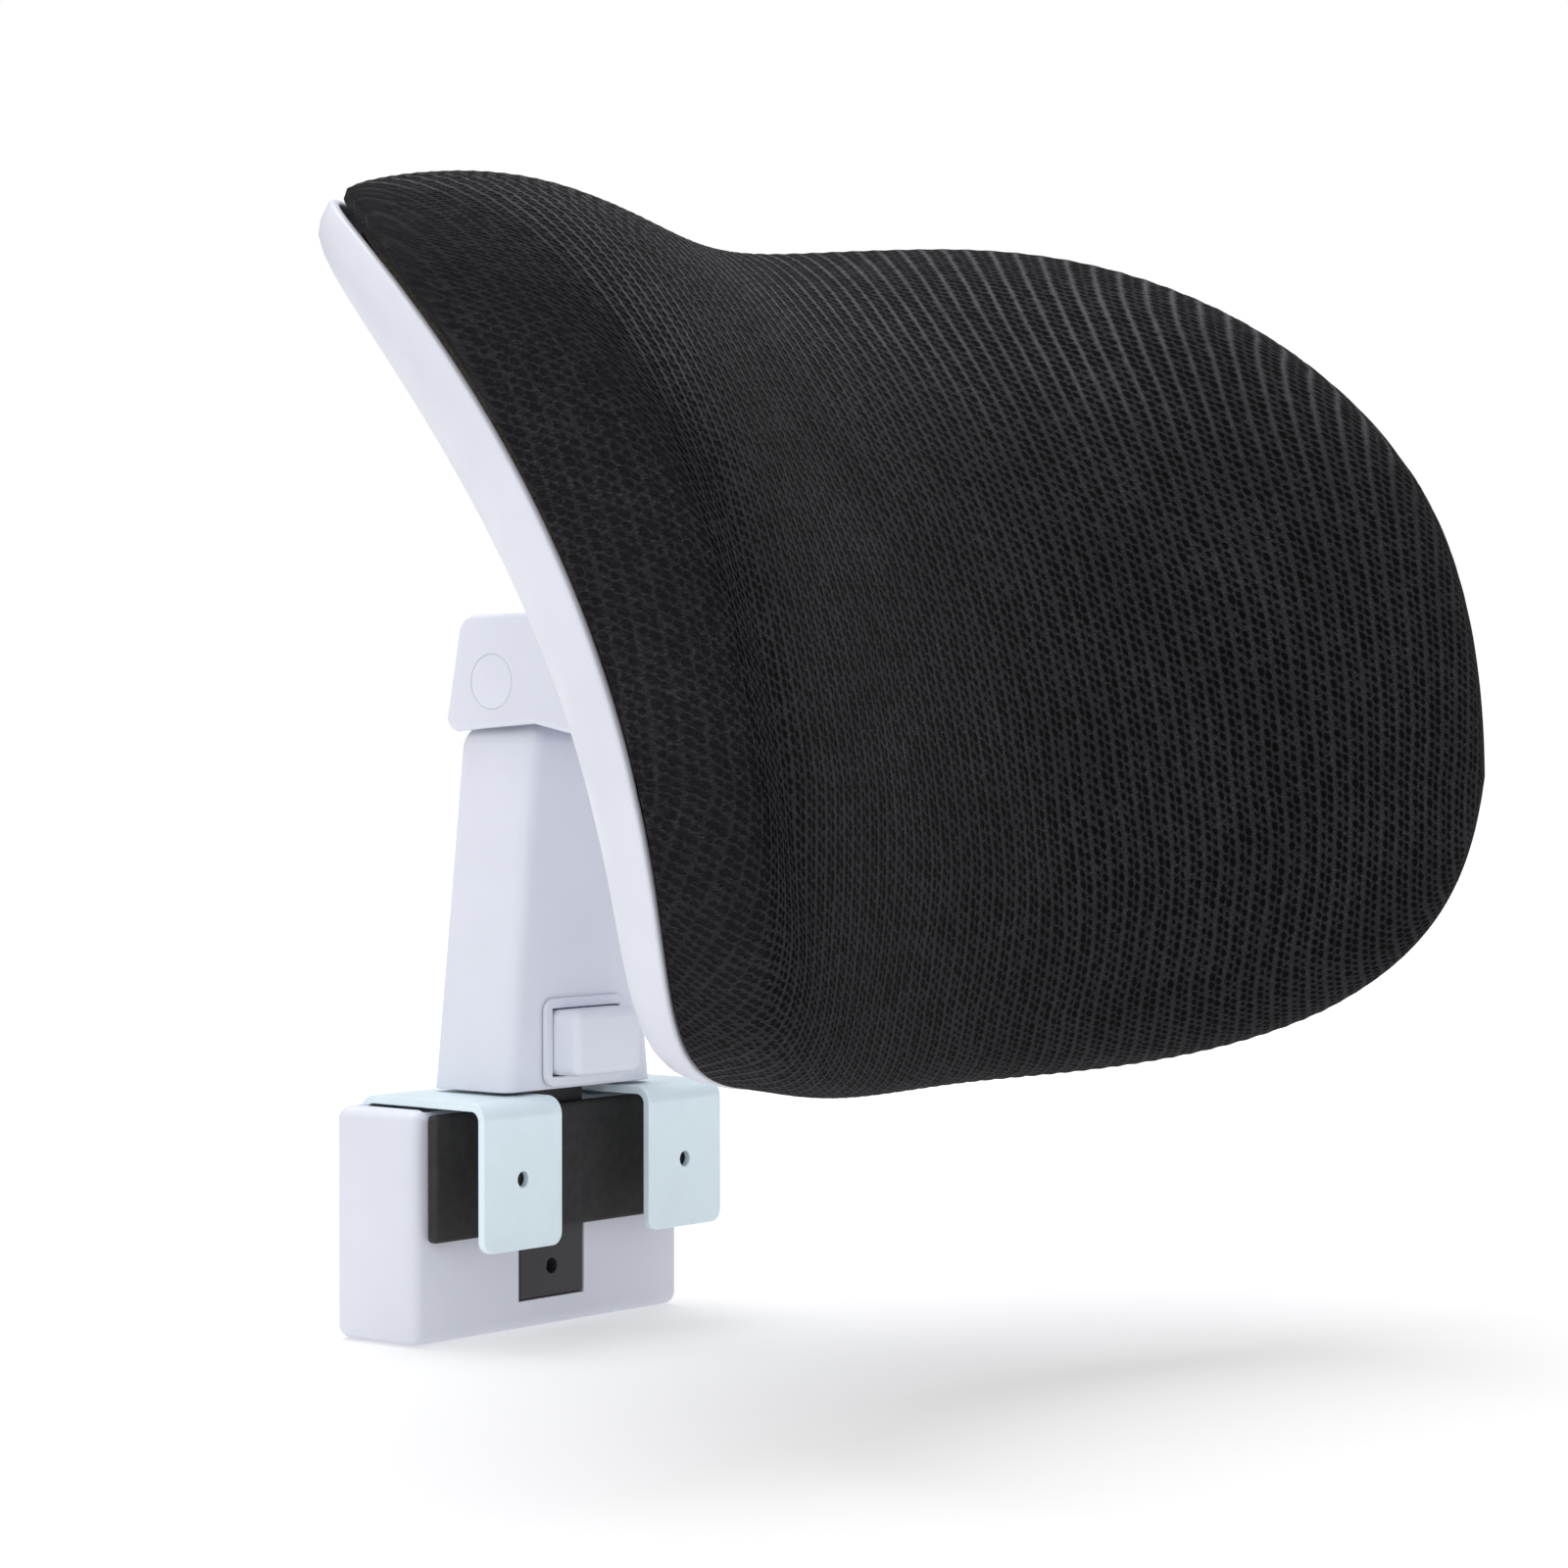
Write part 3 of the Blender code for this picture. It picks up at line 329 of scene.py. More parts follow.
def side_profile(name, points, low_x, high_x):
    """A flat outline in Y and Z, as a closed solid from low_x to high_x."""
    form = bmesh.new()
    near = [form.verts.new((low_x, y, z)) for y, z in points]
    far = [form.verts.new((high_x, y, z)) for y, z in points]
    form.faces.new(near)
    form.faces.new(far[::-1])
    for i in range(len(points)):
        k = (i + 1) % len(points)
        form.faces.new((near[i], far[i], far[k], near[k]))
    bmesh.ops.recalc_face_normals(form, faces=form.faces)
    return from_form(name, form)


def arc(centre, radius, start, end, steps):
    """Points round part of a circle, with angles in degrees."""
    angles = (math.radians(start + (end - start) * i / steps) for i in range(steps + 1))
    return [(centre[0] + radius * math.cos(a), centre[1] + radius * math.sin(a)) for a in angles]


def weigh_edges(piece, weight_of):
    """Bevel weight for each edge, from a function of its two ends."""
    mesh = piece.data
    weights = mesh.attributes.new("bevel_weight_edge", "FLOAT", "EDGE")
    for edge in mesh.edges:
        weights.data[edge.index].value = weight_of(*(mesh.vertices[v].co for v in edge.vertices))


# Headrest surfaces, as the CAD has them, for arrays of points


def rise(z):
    return (z - MIDDLE_Z) / 0.1


def seam_depth(x, z):
    k = rise(z)
    lean = 0.1 * LEAN * k + 0.01 * CURL * k * k
    return SEAM_Y + lean - (WING + 0.1 * WING_TWIST * k) * (x / HALF_WIDTH) ** 2


def lean_slope(z):
    return LEAN + 0.2 * CURL * rise(z)


def pad_depth(z):
    k = rise(z)
    return PAD_DEPTH + 0.1 * PAD_DEPTH_RISE * k + 0.01 * PAD_DEPTH_CURVE * k * k


def directions(across, up):
    """The seam's own width and height fractions in the direction of each point of the unit square."""
    power = np.where(up > 0, TOP_POWER, BOTTOM_POWER)
    size = (np.abs(across) ** power + np.abs(up) ** power) ** (1 / power)
    size = np.maximum(size, 1e-9)
    return across / size, up / size


def outline(wide, high, scale):
    """X and Z of the seam, scaled about the headrest's middle."""
    wide = wide * (1 + FLARE * high)
    middle = np.maximum(0.0, 1 - wide * wide)
    dip = np.where(high > 0, EAR_DIP * middle * middle, BOTTOM_SAG * middle)
    height = np.where(high > 0, TOP_RISE, BOTTOM_DROP) * high - dip * high * high
    return scale * HALF_WIDTH * wide, MIDDLE_Z + scale * height


def crown(reach, power, width, depth, bulge):
    """Edge fraction, height fraction and side bulge of a crowned form, at even steps along its surface."""
    turn = np.linspace(0, math.pi / 2, 2000)
    size = (np.sin(turn) ** power + np.cos(turn) ** power) ** (1 / power)
    edge, height = np.sin(turn) / size, np.cos(turn) / size
    angle = np.arctan2(height ** (power / 2), edge ** (power / 2))
    side = np.sin(np.minimum(2.2 * angle, math.pi))
    out, back = width * edge * (1 + bulge * side), depth * height
    run = np.concatenate([[0.0], np.cumsum(np.hypot(np.diff(out), np.diff(back)))])
    share = run / run[-1]
    return [np.interp(reach, share, table) for table in (edge, height, side)]


def pad_surface(across, up, inset=0.0):
    """Points of the cushion's front, inset from its face, and how far each is behind the crown."""
    reach = np.maximum(np.abs(across), np.abs(up))
    edge, height, side = crown(reach, PAD_POWER, CROWN_WIDTH, CROWN_DEPTH, PAD_BULGE)
    shrink = 1 - inset / PAD_INSET_REACH
    wide, high = directions(across, up)
    ear = smooth_step(np.minimum(np.abs(wide), high), 0.4, 0.8)
    low = 1 - smooth_step(high, -0.2, 0.5)
    # It bulges more low down and at the flanks, and less at the ears, which are plump instead.
    flank = FLANK_FULLNESS * wide**2 * (1 - ear)
    bulge = PAD_BULGE * side * (1.05 + 0.2 * low - 0.15 * ear + flank)
    plump = EAR_FULLNESS * ear * np.sin(math.pi * np.minimum(height / 0.7, 1.0) ** 0.5)
    x, z = outline(wide, high, edge * shrink * (1 + bulge + plump))
    lip = 2 * GAP + COVER_SKIN * np.maximum(0.0, lean_slope(z))
    y = seam_depth(x, z) - lip - height * (pad_depth(z) - inset - lip)
    return np.stack([x, y, z], axis=-1), (1 - height) * pad_depth(z)


def shell_surface(across, up):
    """Points of the shell's outer face."""
    reach = np.maximum(np.abs(across), np.abs(up))
    edge, height, _ = crown(reach, SHELL_POWER, CROWN_WIDTH, SHELL_DEPTH, 0.0)
    x, z = outline(*directions(across, up), edge)
    lean = np.arctan(lean_slope(z))
    step = 2 * GAP + SHELL_DEPTH * height
    return np.stack([x, seam_depth(x, z) + step * np.cos(lean), z - step * np.sin(lean)], axis=-1)


def back_point(x, z, depth):
    """Place and direction square to the headrest's back, at a depth behind the seam surface."""
    step = 0.001
    across = Vector((2 * step, seam_depth(x + step, z) - seam_depth(x - step, z), 0))
    along = Vector((0, seam_depth(x, z + step) - seam_depth(x, z - step), 2 * step))
    outward = along.cross(across).normalized()
    return Vector((x, seam_depth(x, z), z)) + outward * depth, outward


def unit_grid(columns, rows):
    return np.meshgrid(np.linspace(-1, 1, columns + 1), np.linspace(-1, 1, rows + 1))


def grid_index(columns, rows):
    return np.arange((columns + 1) * (rows + 1)).reshape(rows + 1, columns + 1)


def grid_border(columns, rows):
    """The points round the edge of a grid, in order."""
    index = grid_index(columns, rows)
    return np.concatenate([index[0, :-1], index[:-1, -1], index[-1, :0:-1], index[:0:-1, 0]])


def grid_faces(columns, rows, flip=False):
    index = grid_index(columns, rows)
    faces = np.stack([index[:-1, :-1], index[:-1, 1:], index[1:, 1:], index[1:, :-1]], axis=-1).reshape(-1, 4)
    return faces[:, ::-1] if flip else faces


def mesh_from(name, points, faces):
    mesh = bpy.data.meshes.new(name)
    mesh.from_pydata(points.reshape(-1, 3).tolist(), [], [tuple(face) for face in faces.tolist()])
    mesh.validate()
    return mesh


def vertex_normals(mesh):
    normals = np.zeros(len(mesh.vertices) * 3, np.float32)
    mesh.vertex_normals.foreach_get("vector", normals)
    return normals.reshape(-1, 3).astype(float)


def smooth_step(value, low, high):
    share = np.clip((value - low) / (high - low), 0, 1)
    return share * share * (3 - 2 * share)


# Materials


class Look:
    """A material with short ways to add its nodes."""

    def __init__(self, name, colour, roughness, metallic=0.0):
        self.material = bpy.data.materials.new(name)
        self.material.use_nodes = True
        self.material.diffuse_color = (*colour, 1.0)
        self.tree = self.material.node_tree
        self.shader = self.tree.nodes["Principled BSDF"]
        self.shader.inputs["Base Color"].default_value = (*colour, 1.0)
        self.shader.inputs["Roughness"].default_value = roughness
        self.shader.inputs["Metallic"].default_value = metallic

    def feed(self, socket, value):
        if isinstance(value, bpy.types.NodeSocket):
            self.tree.links.new(value, socket)
        elif value is not None:
            socket.default_value = value

    def surface(self, socket, value):
        self.feed(self.shader.inputs[socket], value)

    def place(self):
        """The surface's own coordinates in metres."""
        return self.tree.nodes.new("ShaderNodeTexCoord").outputs["Object"]

    def attribute(self, name):
        node = self.tree.nodes.new("ShaderNodeAttribute")
        node.attribute_name = name
        split = self.tree.nodes.new("ShaderNodeSeparateXYZ")
        self.tree.links.new(node.outputs["Vector"], split.inputs[0])
        return split.outputs

    def vector(self, x, y, z=0.0):
        node = self.tree.nodes.new("ShaderNodeCombineXYZ")
        for socket, value in zip(node.inputs, (x, y, z)):
            self.feed(socket, value)
        return node.outputs[0]

    def math(self, operation, first, second=None, third=None):
        node = self.tree.nodes.new("ShaderNodeMath")
        node.operation = operation
        for socket, value in zip(node.inputs, (first, second, third)):
            self.feed(socket, value)
        return node.outputs[0]

    def stretch(self, vector, scale):
        node = self.tree.nodes.new("ShaderNodeVectorMath")
        node.operation = "MULTIPLY"
        self.feed(node.inputs[0], vector)
        node.inputs[1].default_value = scale
        return node.outputs[0]

    def noise(self, vector, scale, detail=2.0, roughness=0.5):
        node = self.tree.nodes.new("ShaderNodeTexNoise")
        self.feed(node.inputs["Vector"], vector)
        node.inputs["Scale"].default_value = scale
        node.inputs["Detail"].default_value = detail
        node.inputs["Roughness"].default_value = roughness
        return node.outputs["Fac"]

    def cells(self, vector, scale):
        node = self.tree.nodes.new("ShaderNodeTexVoronoi")
        self.feed(node.inputs["Vector"], vector)
        node.inputs["Scale"].default_value = scale
        return node.outputs["Distance"]

    def spread(self, value, from_low, from_high, to_low, to_high, smooth=False):
        node = self.tree.nodes.new("ShaderNodeMapRange")
        node.interpolation_type = "SMOOTHSTEP" if smooth else "LINEAR"
        for socket, number in zip(node.inputs, (value, from_low, from_high, to_low, to_high)):
            self.feed(socket, number)
        return node.outputs[0]

    def mix(self, share, first, second):
        node = self.tree.nodes.new("ShaderNodeMix")
        node.data_type = "RGBA"
        self.feed(node.inputs[0], share)
        for socket, colour in zip((node.inputs[6], node.inputs[7]), (first, second)):
            self.feed(socket, colour if isinstance(colour, bpy.types.NodeSocket) else (*colour, 1.0))
        return node.outputs[2]

    def bump(self, height, distance, normal=None):
        node = self.tree.nodes.new("ShaderNodeBump")
        node.inputs["Distance"].default_value = distance
        self.feed(node.inputs["Height"], height)
        self.feed(node.inputs["Normal"], normal)
        return node.outputs[0]

    def soft_edges(self, radius):
        node = self.tree.nodes.new("ShaderNodeBevel")
        node.samples = 4
        node.inputs["Radius"].default_value = radius
        return node.outputs[0]


def moulded(name, colour, roughness, edge_radius):
    """Moulded plastic: fine spark texture, faint sink and flow marks, and slightly uneven gloss and tint."""
    look = Look(name, colour, roughness)
    here = look.place()
    tint = look.spread(look.noise(here, 26, 3), 0.3, 0.7, 0, 1)
    pale = tuple(min(1.0, c * 1.035) for c in colour)
    dull = tuple(c * 0.965 for c in colour)
    look.surface("Base Color", look.mix(tint, dull, pale))
    gloss = look.math("ADD", look.spread(look.noise(here, 90, 4), 0.3, 0.7, -0.05, 0.05), roughness)
    look.surface("Roughness", gloss)
    normal = look.soft_edges(edge_radius) if edge_radius else None
    waves = look.bump(look.noise(here, 45, 1), 0.00010, normal)
    grain = look.bump(look.noise(here, 2600, 2), 0.000022, waves)
    look.surface("Normal", grain)
    return look.material


def metal(name, colour, roughness, metallic, streak):
    """Plated steel, with fine streaks along one direction and faint clouding."""
    look = Look(name, colour, roughness, metallic)
    here = look.place()
    streaks = look.noise(look.stretch(here, streak), 60, 4, 0.6)
    cloud = look.noise(here, 120, 3)
    mixed = look.math("MULTIPLY_ADD", cloud, 0.10, look.spread(streaks, 0.3, 0.7, -0.06, 0.06))
    look.surface("Roughness", look.math("ADD", mixed, roughness - 0.05))
    dull = tuple(c * 0.90 for c in colour)
    look.surface("Base Color", look.mix(cloud, dull, colour))
    look.surface("Normal", look.bump(streaks, 0.00003))
    return look.material


def rubber(name, colour):
    look = Look(name, colour, 0.8)
    here = look.place()
    pale = tuple(c * 1.8 + 0.004 for c in colour)
    look.surface("Base Color", look.mix(look.noise(here, 160, 5), colour, pale))
    look.surface("Roughness", look.spread(look.noise(here, 400, 3), 0.3, 0.7, 0.7, 0.9))
    look.surface("Normal", look.bump(look.noise(here, 1500, 3), 0.00006))
    return look.material


def foam(name, colour):
    look = Look(name, colour, 1.0)
    here = look.place()
    pores = look.cells(here, 900)
    # The pores are painted darker: painted shade in the open cells of the foam.
    painted_pore_shade = tuple(c * 0.55 for c in colour)
    look.surface("Base Color", look.mix(look.spread(pores, 0.1, 0.5, 0, 1), painted_pore_shade, colour))
    look.surface("Normal", look.bump(pores, 0.0004))
    return look.material


def knitted(name, ground, cord, shade):
    """Spacer fabric. It reads the cover's coordinates: across and up the cloth, and how much it is a side."""
    look = Look(name, ground, 0.85)
    across, up, side = look.attribute("cloth")
    # Painted highlight: the cords are painted much paler in a band near the top and bottom edges.
    painted_highlight_band = look.spread(look.math("ABSOLUTE", up), 0.07, 0.125, 0, 1, smooth=True)
    cloth = look.vector(across, up)
    shift = look.math("SUBTRACT", look.noise(look.stretch(cloth, (1, 1.7, 1)), 310, 2), 0.5)
    # Whole numbers count cords across and rows of holes up the cloth.
    column = look.math("DIVIDE", across, CORD_PITCH)
    row = look.math("MULTIPLY_ADD", shift, 0.7, look.math("DIVIDE", up, HOLE_ROW))
    spot = look.math("FRACT", column)
    rib = look.math("MULTIPLY", look.math("ABSOLUTE", look.math("SUBTRACT", spot, 0.5)), 2)

    def hole(centre, lag):
        """Squared distance from the nearest hole of one file, in half sizes of that hole."""
        line = look.math("ADD", row, lag)
        half_width = look.spread(side, 0.3, 1, *HOLE_HALF_WIDTHS)
        flat = look.math("DIVIDE", look.math("SUBTRACT", spot, centre), half_width)
        tall = look.math("DIVIDE", look.math("SUBTRACT", look.math("FRACT", line), 0.5), HOLE_HALF_HEIGHT)
        slant = look.math("MULTIPLY_ADD", flat, 0.25, tall)
        square = look.math("ADD", look.math("MULTIPLY", flat, flat), look.math("MULTIPLY", slant, slant))
        luck = look.tree.nodes.new("ShaderNodeTexWhiteNoise")
        luck.noise_dimensions = "2D"
        cell = look.vector(look.math("ADD", look.math("FLOOR", column), centre), look.math("FLOOR", line))
        look.feed(luck.inputs["Vector"], cell)
        size = look.spread(luck.outputs["Value"], 0, 1, 0.5, 1.5)
        return look.math("DIVIDE", square, size)

    nearest = look.math("MINIMUM", hole(HOLE_FILES[0], 0.0), hole(HOLE_FILES[1], 0.45))
    open_share = look.spread(nearest, 0.3, 1.25, 1, 0, smooth=True)
    kept = look.spread(side, 0.4, 1.0, 1.0, 0.6)
    open_share = look.math("MULTIPLY", open_share, kept)
    thread = look.noise(look.stretch(cloth, (0.45, 1.0, 1.0)), 2300, 3, 0.65)
    fluff = look.noise(cloth, 420, 4, 0.6)

    ribbed = look.math("MULTIPLY", look.math("POWER", rib, 4.0), look.spread(side, 0.0, 0.35, 1.0, 0.0))
    # The cords are a paler knit, and in the band they are painted paler still as a painted highlight. The
    # same share also raises them in the bump.
    ribs_with_painted_highlight = look.math("MULTIPLY", ribbed, look.math("MULTIPLY_ADD", painted_highlight_band, 0.82, 0.10))
    lit = look.math("ADD", ribs_with_painted_highlight, look.spread(thread, 0.42, 0.72, 0, 0.42))
    lit = look.math("MULTIPLY", lit, look.spread(fluff, 0.3, 0.7, 0.5, 1.3))
    lit = look.math("MULTIPLY", lit, look.spread(look.noise(cloth, 32, 2), 0.35, 0.65, 0.75, 1.25))
    colour = look.mix(look.math("MINIMUM", lit, 1.0), ground, cord)
    # The holes are painted near-black: painted shade inside the openings of the knit.
    colour = look.mix(look.math("MULTIPLY", open_share, 0.92), colour, shade)
    look.surface("Base Color", colour)
    look.surface("Roughness", look.spread(thread, 0.3, 0.7, 0.74, 0.92))
    height = look.math("MULTIPLY_ADD", thread, 0.22, look.math("MULTIPLY", ribs_with_painted_highlight, 0.45))
    height = look.math("SUBTRACT", height, look.math("MULTIPLY", open_share, 0.8))
    look.surface("Normal", look.bump(height, 0.00065))
    look.surface("Sheen Weight", 0.03)
    look.surface("Sheen Roughness", 0.45)
    look.surface("Specular IOR Level", 0.03)
    return look.material


# Ground and cord colours, and the painted shade of the holes.
FABRIC_COLOURS = (0.0110, 0.0104, 0.0128), (0.088, 0.085, 0.096), (0.0006, 0.0006, 0.0009)
MATERIALS = {
    # A copy of the white plastic for the shell, painted a little darker as painted shade.
    "shaded_shell_plastic": moulded("shell_plastic_look", (0.700, 0.715, 0.795), 0.42, 0.0005),
    "white_plastic": moulded("white_plastic_look", (0.755, 0.775, 0.855), 0.40, 0.0005),
    "mesh_fabric": knitted("mesh_fabric_look", *FABRIC_COLOURS),
    "foam": foam("foam_look", (0.45, 0.42, 0.36)),
    "black_plastic": moulded("black_plastic_look", (0.030, 0.030, 0.033), 0.5, 0.0),
    "zinc_steel": metal("zinc_steel_look", (0.82, 0.95, 1.0), 0.36, 0.15, (1.0, 1.0, 0.06)),
    "bright_steel": metal("bright_steel_look", (0.62, 0.63, 0.66), 0.28, 1.0, (1.0, 0.12, 1.0)),
    "rubber": rubber("rubber_look", (0.018, 0.018, 0.018)),
    "nylon": moulded("nylon_look", (0.78, 0.77, 0.72), 0.5, 0.0),
}


# Cushion


def swell(columns, rows):
    """How far pressure moves each point of the cover, smoothed and limited, with its seam held."""
    across, up = unit_grid(columns, rows)
    start, _ = pad_surface(across, up, SWELL_START)
    mesh = mesh_from("swelling cover", start, grid_faces(columns, rows))
    cover = add("swelling cover", mesh)
    held = cover.vertex_groups.new(name="seam")
    border = np.flatnonzero(np.maximum(np.abs(across), np.abs(up)).ravel() > 0.999)
    held.add(border.tolist(), 1.0, "REPLACE")
    cloth = cover.modifiers.new("cloth", "CLOTH")
    settings = cloth.settings
    settings.quality = 5
    settings.mass = 0.3
    settings.air_damping = 10
    settings.tension_stiffness = SWELL_STIFFNESS
    settings.compression_stiffness = SWELL_STIFFNESS
    settings.shear_stiffness = SWELL_STIFFNESS
    settings.bending_stiffness = 5
    settings.use_pressure = True
    settings.uniform_pressure_force = 4
    settings.effector_weights.gravity = 0
    settings.vertex_group_mass = "seam"
    cloth.point_cache.frame_start = 1
    cloth.point_cache.frame_end = SWELL_FRAMES
    scene = bpy.context.scene
    for step in range(1, SWELL_FRAMES + 1):
        scene.frame_set(step)
    moved = np.zeros(len(mesh.vertices) * 3, np.float32)
    finished(cover).data.vertices.foreach_get("co", moved)
    scene.frame_set(1)
    offset = moved.reshape(start.shape).astype(float) - start
    for _ in range(SWELL_SMOOTHING):
        for _ in range(2):
            offset[1:-1] = (offset[:-2] + 2 * offset[1:-1] + offset[2:]) / 4
            offset = offset.swapaxes(0, 1)
    normals = vertex_normals(mesh).reshape(start.shape)
    outward = np.sum(offset * normals, axis=-1, keepdims=True)
    offset += normals * np.maximum(SWELL_LEAST - outward, 0.0)
    size = np.linalg.norm(offset, axis=-1, keepdims=True)
    offset *= np.minimum(1.0, SWELL_CAP / np.maximum(size, 1e-9))
    bpy.data.objects.remove(cover, do_unlink=True)
    return offset


def resample(coarse, columns, rows):
    """A coarse grid of vectors read at every point of a finer grid, with smooth curves between."""
    for axis, count in ((0, rows), (1, columns)):
        coarse = np.moveaxis(coarse, axis, 0)
        last = len(coarse) - 1
        spot = np.linspace(0, last, count + 1)
        low = np.minimum(spot.astype(int), last - 1)
        t = (spot - low).reshape(-1, 1, 1)
        a, b, c, d = (coarse[np.clip(low + k, 0, last)] for k in (-1, 0, 1, 2))
        square, cube = 2 * a - 5 * b + 4 * c - d, 3 * b - a - 3 * c + d
        coarse = 0.5 * (2 * b + (c - a) * t + square * t**2 + cube * t**3)
        coarse = np.moveaxis(coarse, 0, axis)
    return coarse


def cloth_coordinates(points, behind, normals):
    """Distances across and up the cloth as it wraps the foam, and how much of a side each point is."""
    x, z = points[:, 0], points[:, 2]
    bow = WING / HALF_WIDTH**2
    outward = np.maximum(normals[:, 0] * np.sign(x), 0.0)
    total = outward**2 + normals[:, 2] ** 2 + TURN_SOFTNESS
    flank, crest = outward**2 / total, normals[:, 2] ** 2 / total
    x = x / (1 + CORD_FAN * np.maximum(rise(z), 0.0)) - CORD_LEAN * behind * crest
    across = x / 2 * np.sqrt(1 + (2 * bow * x) ** 2) + np.arcsinh(2 * bow * x) / (4 * bow)
    side = smooth_step(outward, 0.35, 0.95)
    across = across + np.sign(x) * behind * flank
    up = (z - MIDDLE_Z) * 1.04 + np.sign(normals[:, 2]) * behind * crest
    return across, up, side


def cushion():
    """The sewn cover: a fine outer face with raised cords, and a lining that closes it behind."""
    across, up = unit_grid(COVER_COLUMNS, COVER_ROWS)
    face, behind = pad_surface(across, up, SWELL_START)
    face = face + resample(swell(SWELL_COLUMNS, SWELL_ROWS), COVER_COLUMNS, COVER_ROWS)
    points, behind = face.reshape(-1, 3), behind.ravel()
    normals = vertex_normals(mesh_from("plain cover", points, grid_faces(COVER_COLUMNS, COVER_ROWS)))
    p, q, side = cloth_coordinates(points, behind, normals)
    # The cords wander a little from their straight course.
    p = p + CORD_PITCH * (0.03 * np.sin(q * 95 + 3 * np.sin(p * 41)) + 0.015 * np.sin(q * 240 + p * 130))
    cord = np.abs(np.mod(p / CORD_PITCH, 1.0) - 0.5) * 2
    height = points[:, 2]
    edge = np.maximum(smooth_step(height, 0.10, 0.19), smooth_step(-height, -0.055, -0.025))
    rim = smooth_step(1 - np.maximum(np.abs(across), np.abs(up)).ravel(), 0.0, 0.03)
    proud = CORD_HEIGHT * (0.1 + 0.9 * edge) * (1 - smooth_step(side, 0.0, 0.35)) * rim
    points = points + normals * (proud * (smooth_step(cord, 0.5, 1.0) - 0.4))[:, None]

    faces = grid_faces(COVER_COLUMNS, COVER_ROWS).tolist()
    border = grid_border(COVER_COLUMNS, COVER_ROWS)
    ring_across, ring_up = across.ravel()[border], up.ravel()[border]
    rings, lining = [border], []
    for reach in LINING_REACHES:
        ring, _ = pad_surface(ring_across * reach, ring_up * reach, SWELL_START + COVER_SKIN)
        rings.append(np.arange(len(border)) + len(points) + sum(len(part) for part in lining))
        lining.append(ring)
    for outer, inner in zip(rings, rings[1:]):
        following = np.roll(np.arange(len(border)), -1)
        faces += np.stack([outer, inner, inner[following], outer[following]], axis=-1).tolist()
    middle, _ = pad_surface(np.zeros(1), np.zeros(1), SWELL_START + COVER_SKIN)
    centre = len(points) + sum(len(part) for part in lining)
    lining.append(middle)
    last = rings[-1]
    faces += [(a, centre, b) for a, b in zip(last.tolist(), np.roll(last, -1).tolist())]
    points = np.concatenate([points, *lining])

    mesh = bpy.data.meshes.new("cushion")
    mesh.from_pydata(points.tolist(), [], [tuple(face) for face in faces])
    cloth = np.zeros((len(points), 3), np.float32)
    cloth[: len(p)] = np.stack([p, q, side], axis=-1)
    layer = mesh.attributes.new("cloth", "FLOAT_VECTOR", "POINT")
    layer.data.foreach_set("vector", cloth.ravel())
    piece = dress(add("cushion", mesh), "mesh_fabric", "headrest", "cushion_cover", sharp=60)


def foam_core():
    """Moulded foam under the cover, with a slightly uneven cut face."""
    columns, rows = 96, 70
    across, up = unit_grid(columns, rows)
    front, _ = pad_surface(across, up, 2 * COVER_SKIN + 0.0006)
    wide, high = directions(across, up)
    shrink = 1 - 2 * COVER_SKIN / PAD_INSET_REACH
    x, z = outline(wide, high, np.maximum(np.abs(across), np.abs(up)) * shrink)
    back = np.stack([x, seam_depth(x, z) - 0.0002, z], axis=-1)
    front[..., 1] += 0.0002 * np.sin(front[..., 0] * 310) * np.sin(front[..., 2] * 270)
    count = (columns + 1) * (rows + 1)
    faces = grid_faces(columns, rows).tolist()
    faces += [[i + count for i in face] for face in grid_faces(columns, rows, flip=True).tolist()]
    border = grid_border(columns, rows).tolist()
    for a, b in zip(border, border[1:] + border[:1]):
        faces.append([b, a, a + count, b + count])
    mesh = bpy.data.meshes.new("foam_core")
    mesh.from_pydata(np.concatenate([front.reshape(-1, 3), back.reshape(-1, 3)]).tolist(), [], faces)
    piece = dress(add("foam_core", mesh), "foam", "headrest", "foam_pad", sharp=50)


# Shell and arm


def land_frame():
    return back_point(0, MIDDLE_Z + LAND_HEIGHT, 0)


def along_lean():
    """Direction up the headrest's back at the arm's flange."""
    return Vector((1, 0, 0)).cross(land_frame()[1])


def leaning_block(name, low_depth, high_depth, edge):
    """A box square to the headrest's back, between two depths behind the seam surface."""
    foot, outward = land_frame()
    low = (-LAND_HALF_WIDTH, -LAND_HALF_LENGTH, low_depth)
    high = (LAND_HALF_WIDTH, LAND_HALF_LENGTH, high_depth)
    piece = block(name, low, high, edge=edge)
    piece.rotation_mode = "QUATERNION"
    turn = Matrix((Vector((1, 0, 0)), -along_lean(), outward)).transposed()
    piece.rotation_quaternion = turn.to_quaternion()
    piece.location = foot + outward * (low_depth + high_depth) / 2
    return piece


def flange_screw_points():
    """Where the arm's four screws cross the seam surface."""
    foot, _ = land_frame()
    up = along_lean() * (LAND_HALF_LENGTH - FLANGE_SCREW_INSET)
    across = Vector((LAND_HALF_WIDTH - FLANGE_SCREW_INSET, 0, 0))
    return [foot + up * u + across * v for u in (-1, 1) for v in (-1, 1)]


def fixing_points():
    """X and Z of the shell's four screws, on the seam surface."""
    return [(x, MIDDLE_Z + z) for z in SHELL_SCREW_HEIGHTS for x in (-SHELL_SCREW_X, SHELL_SCREW_X)]


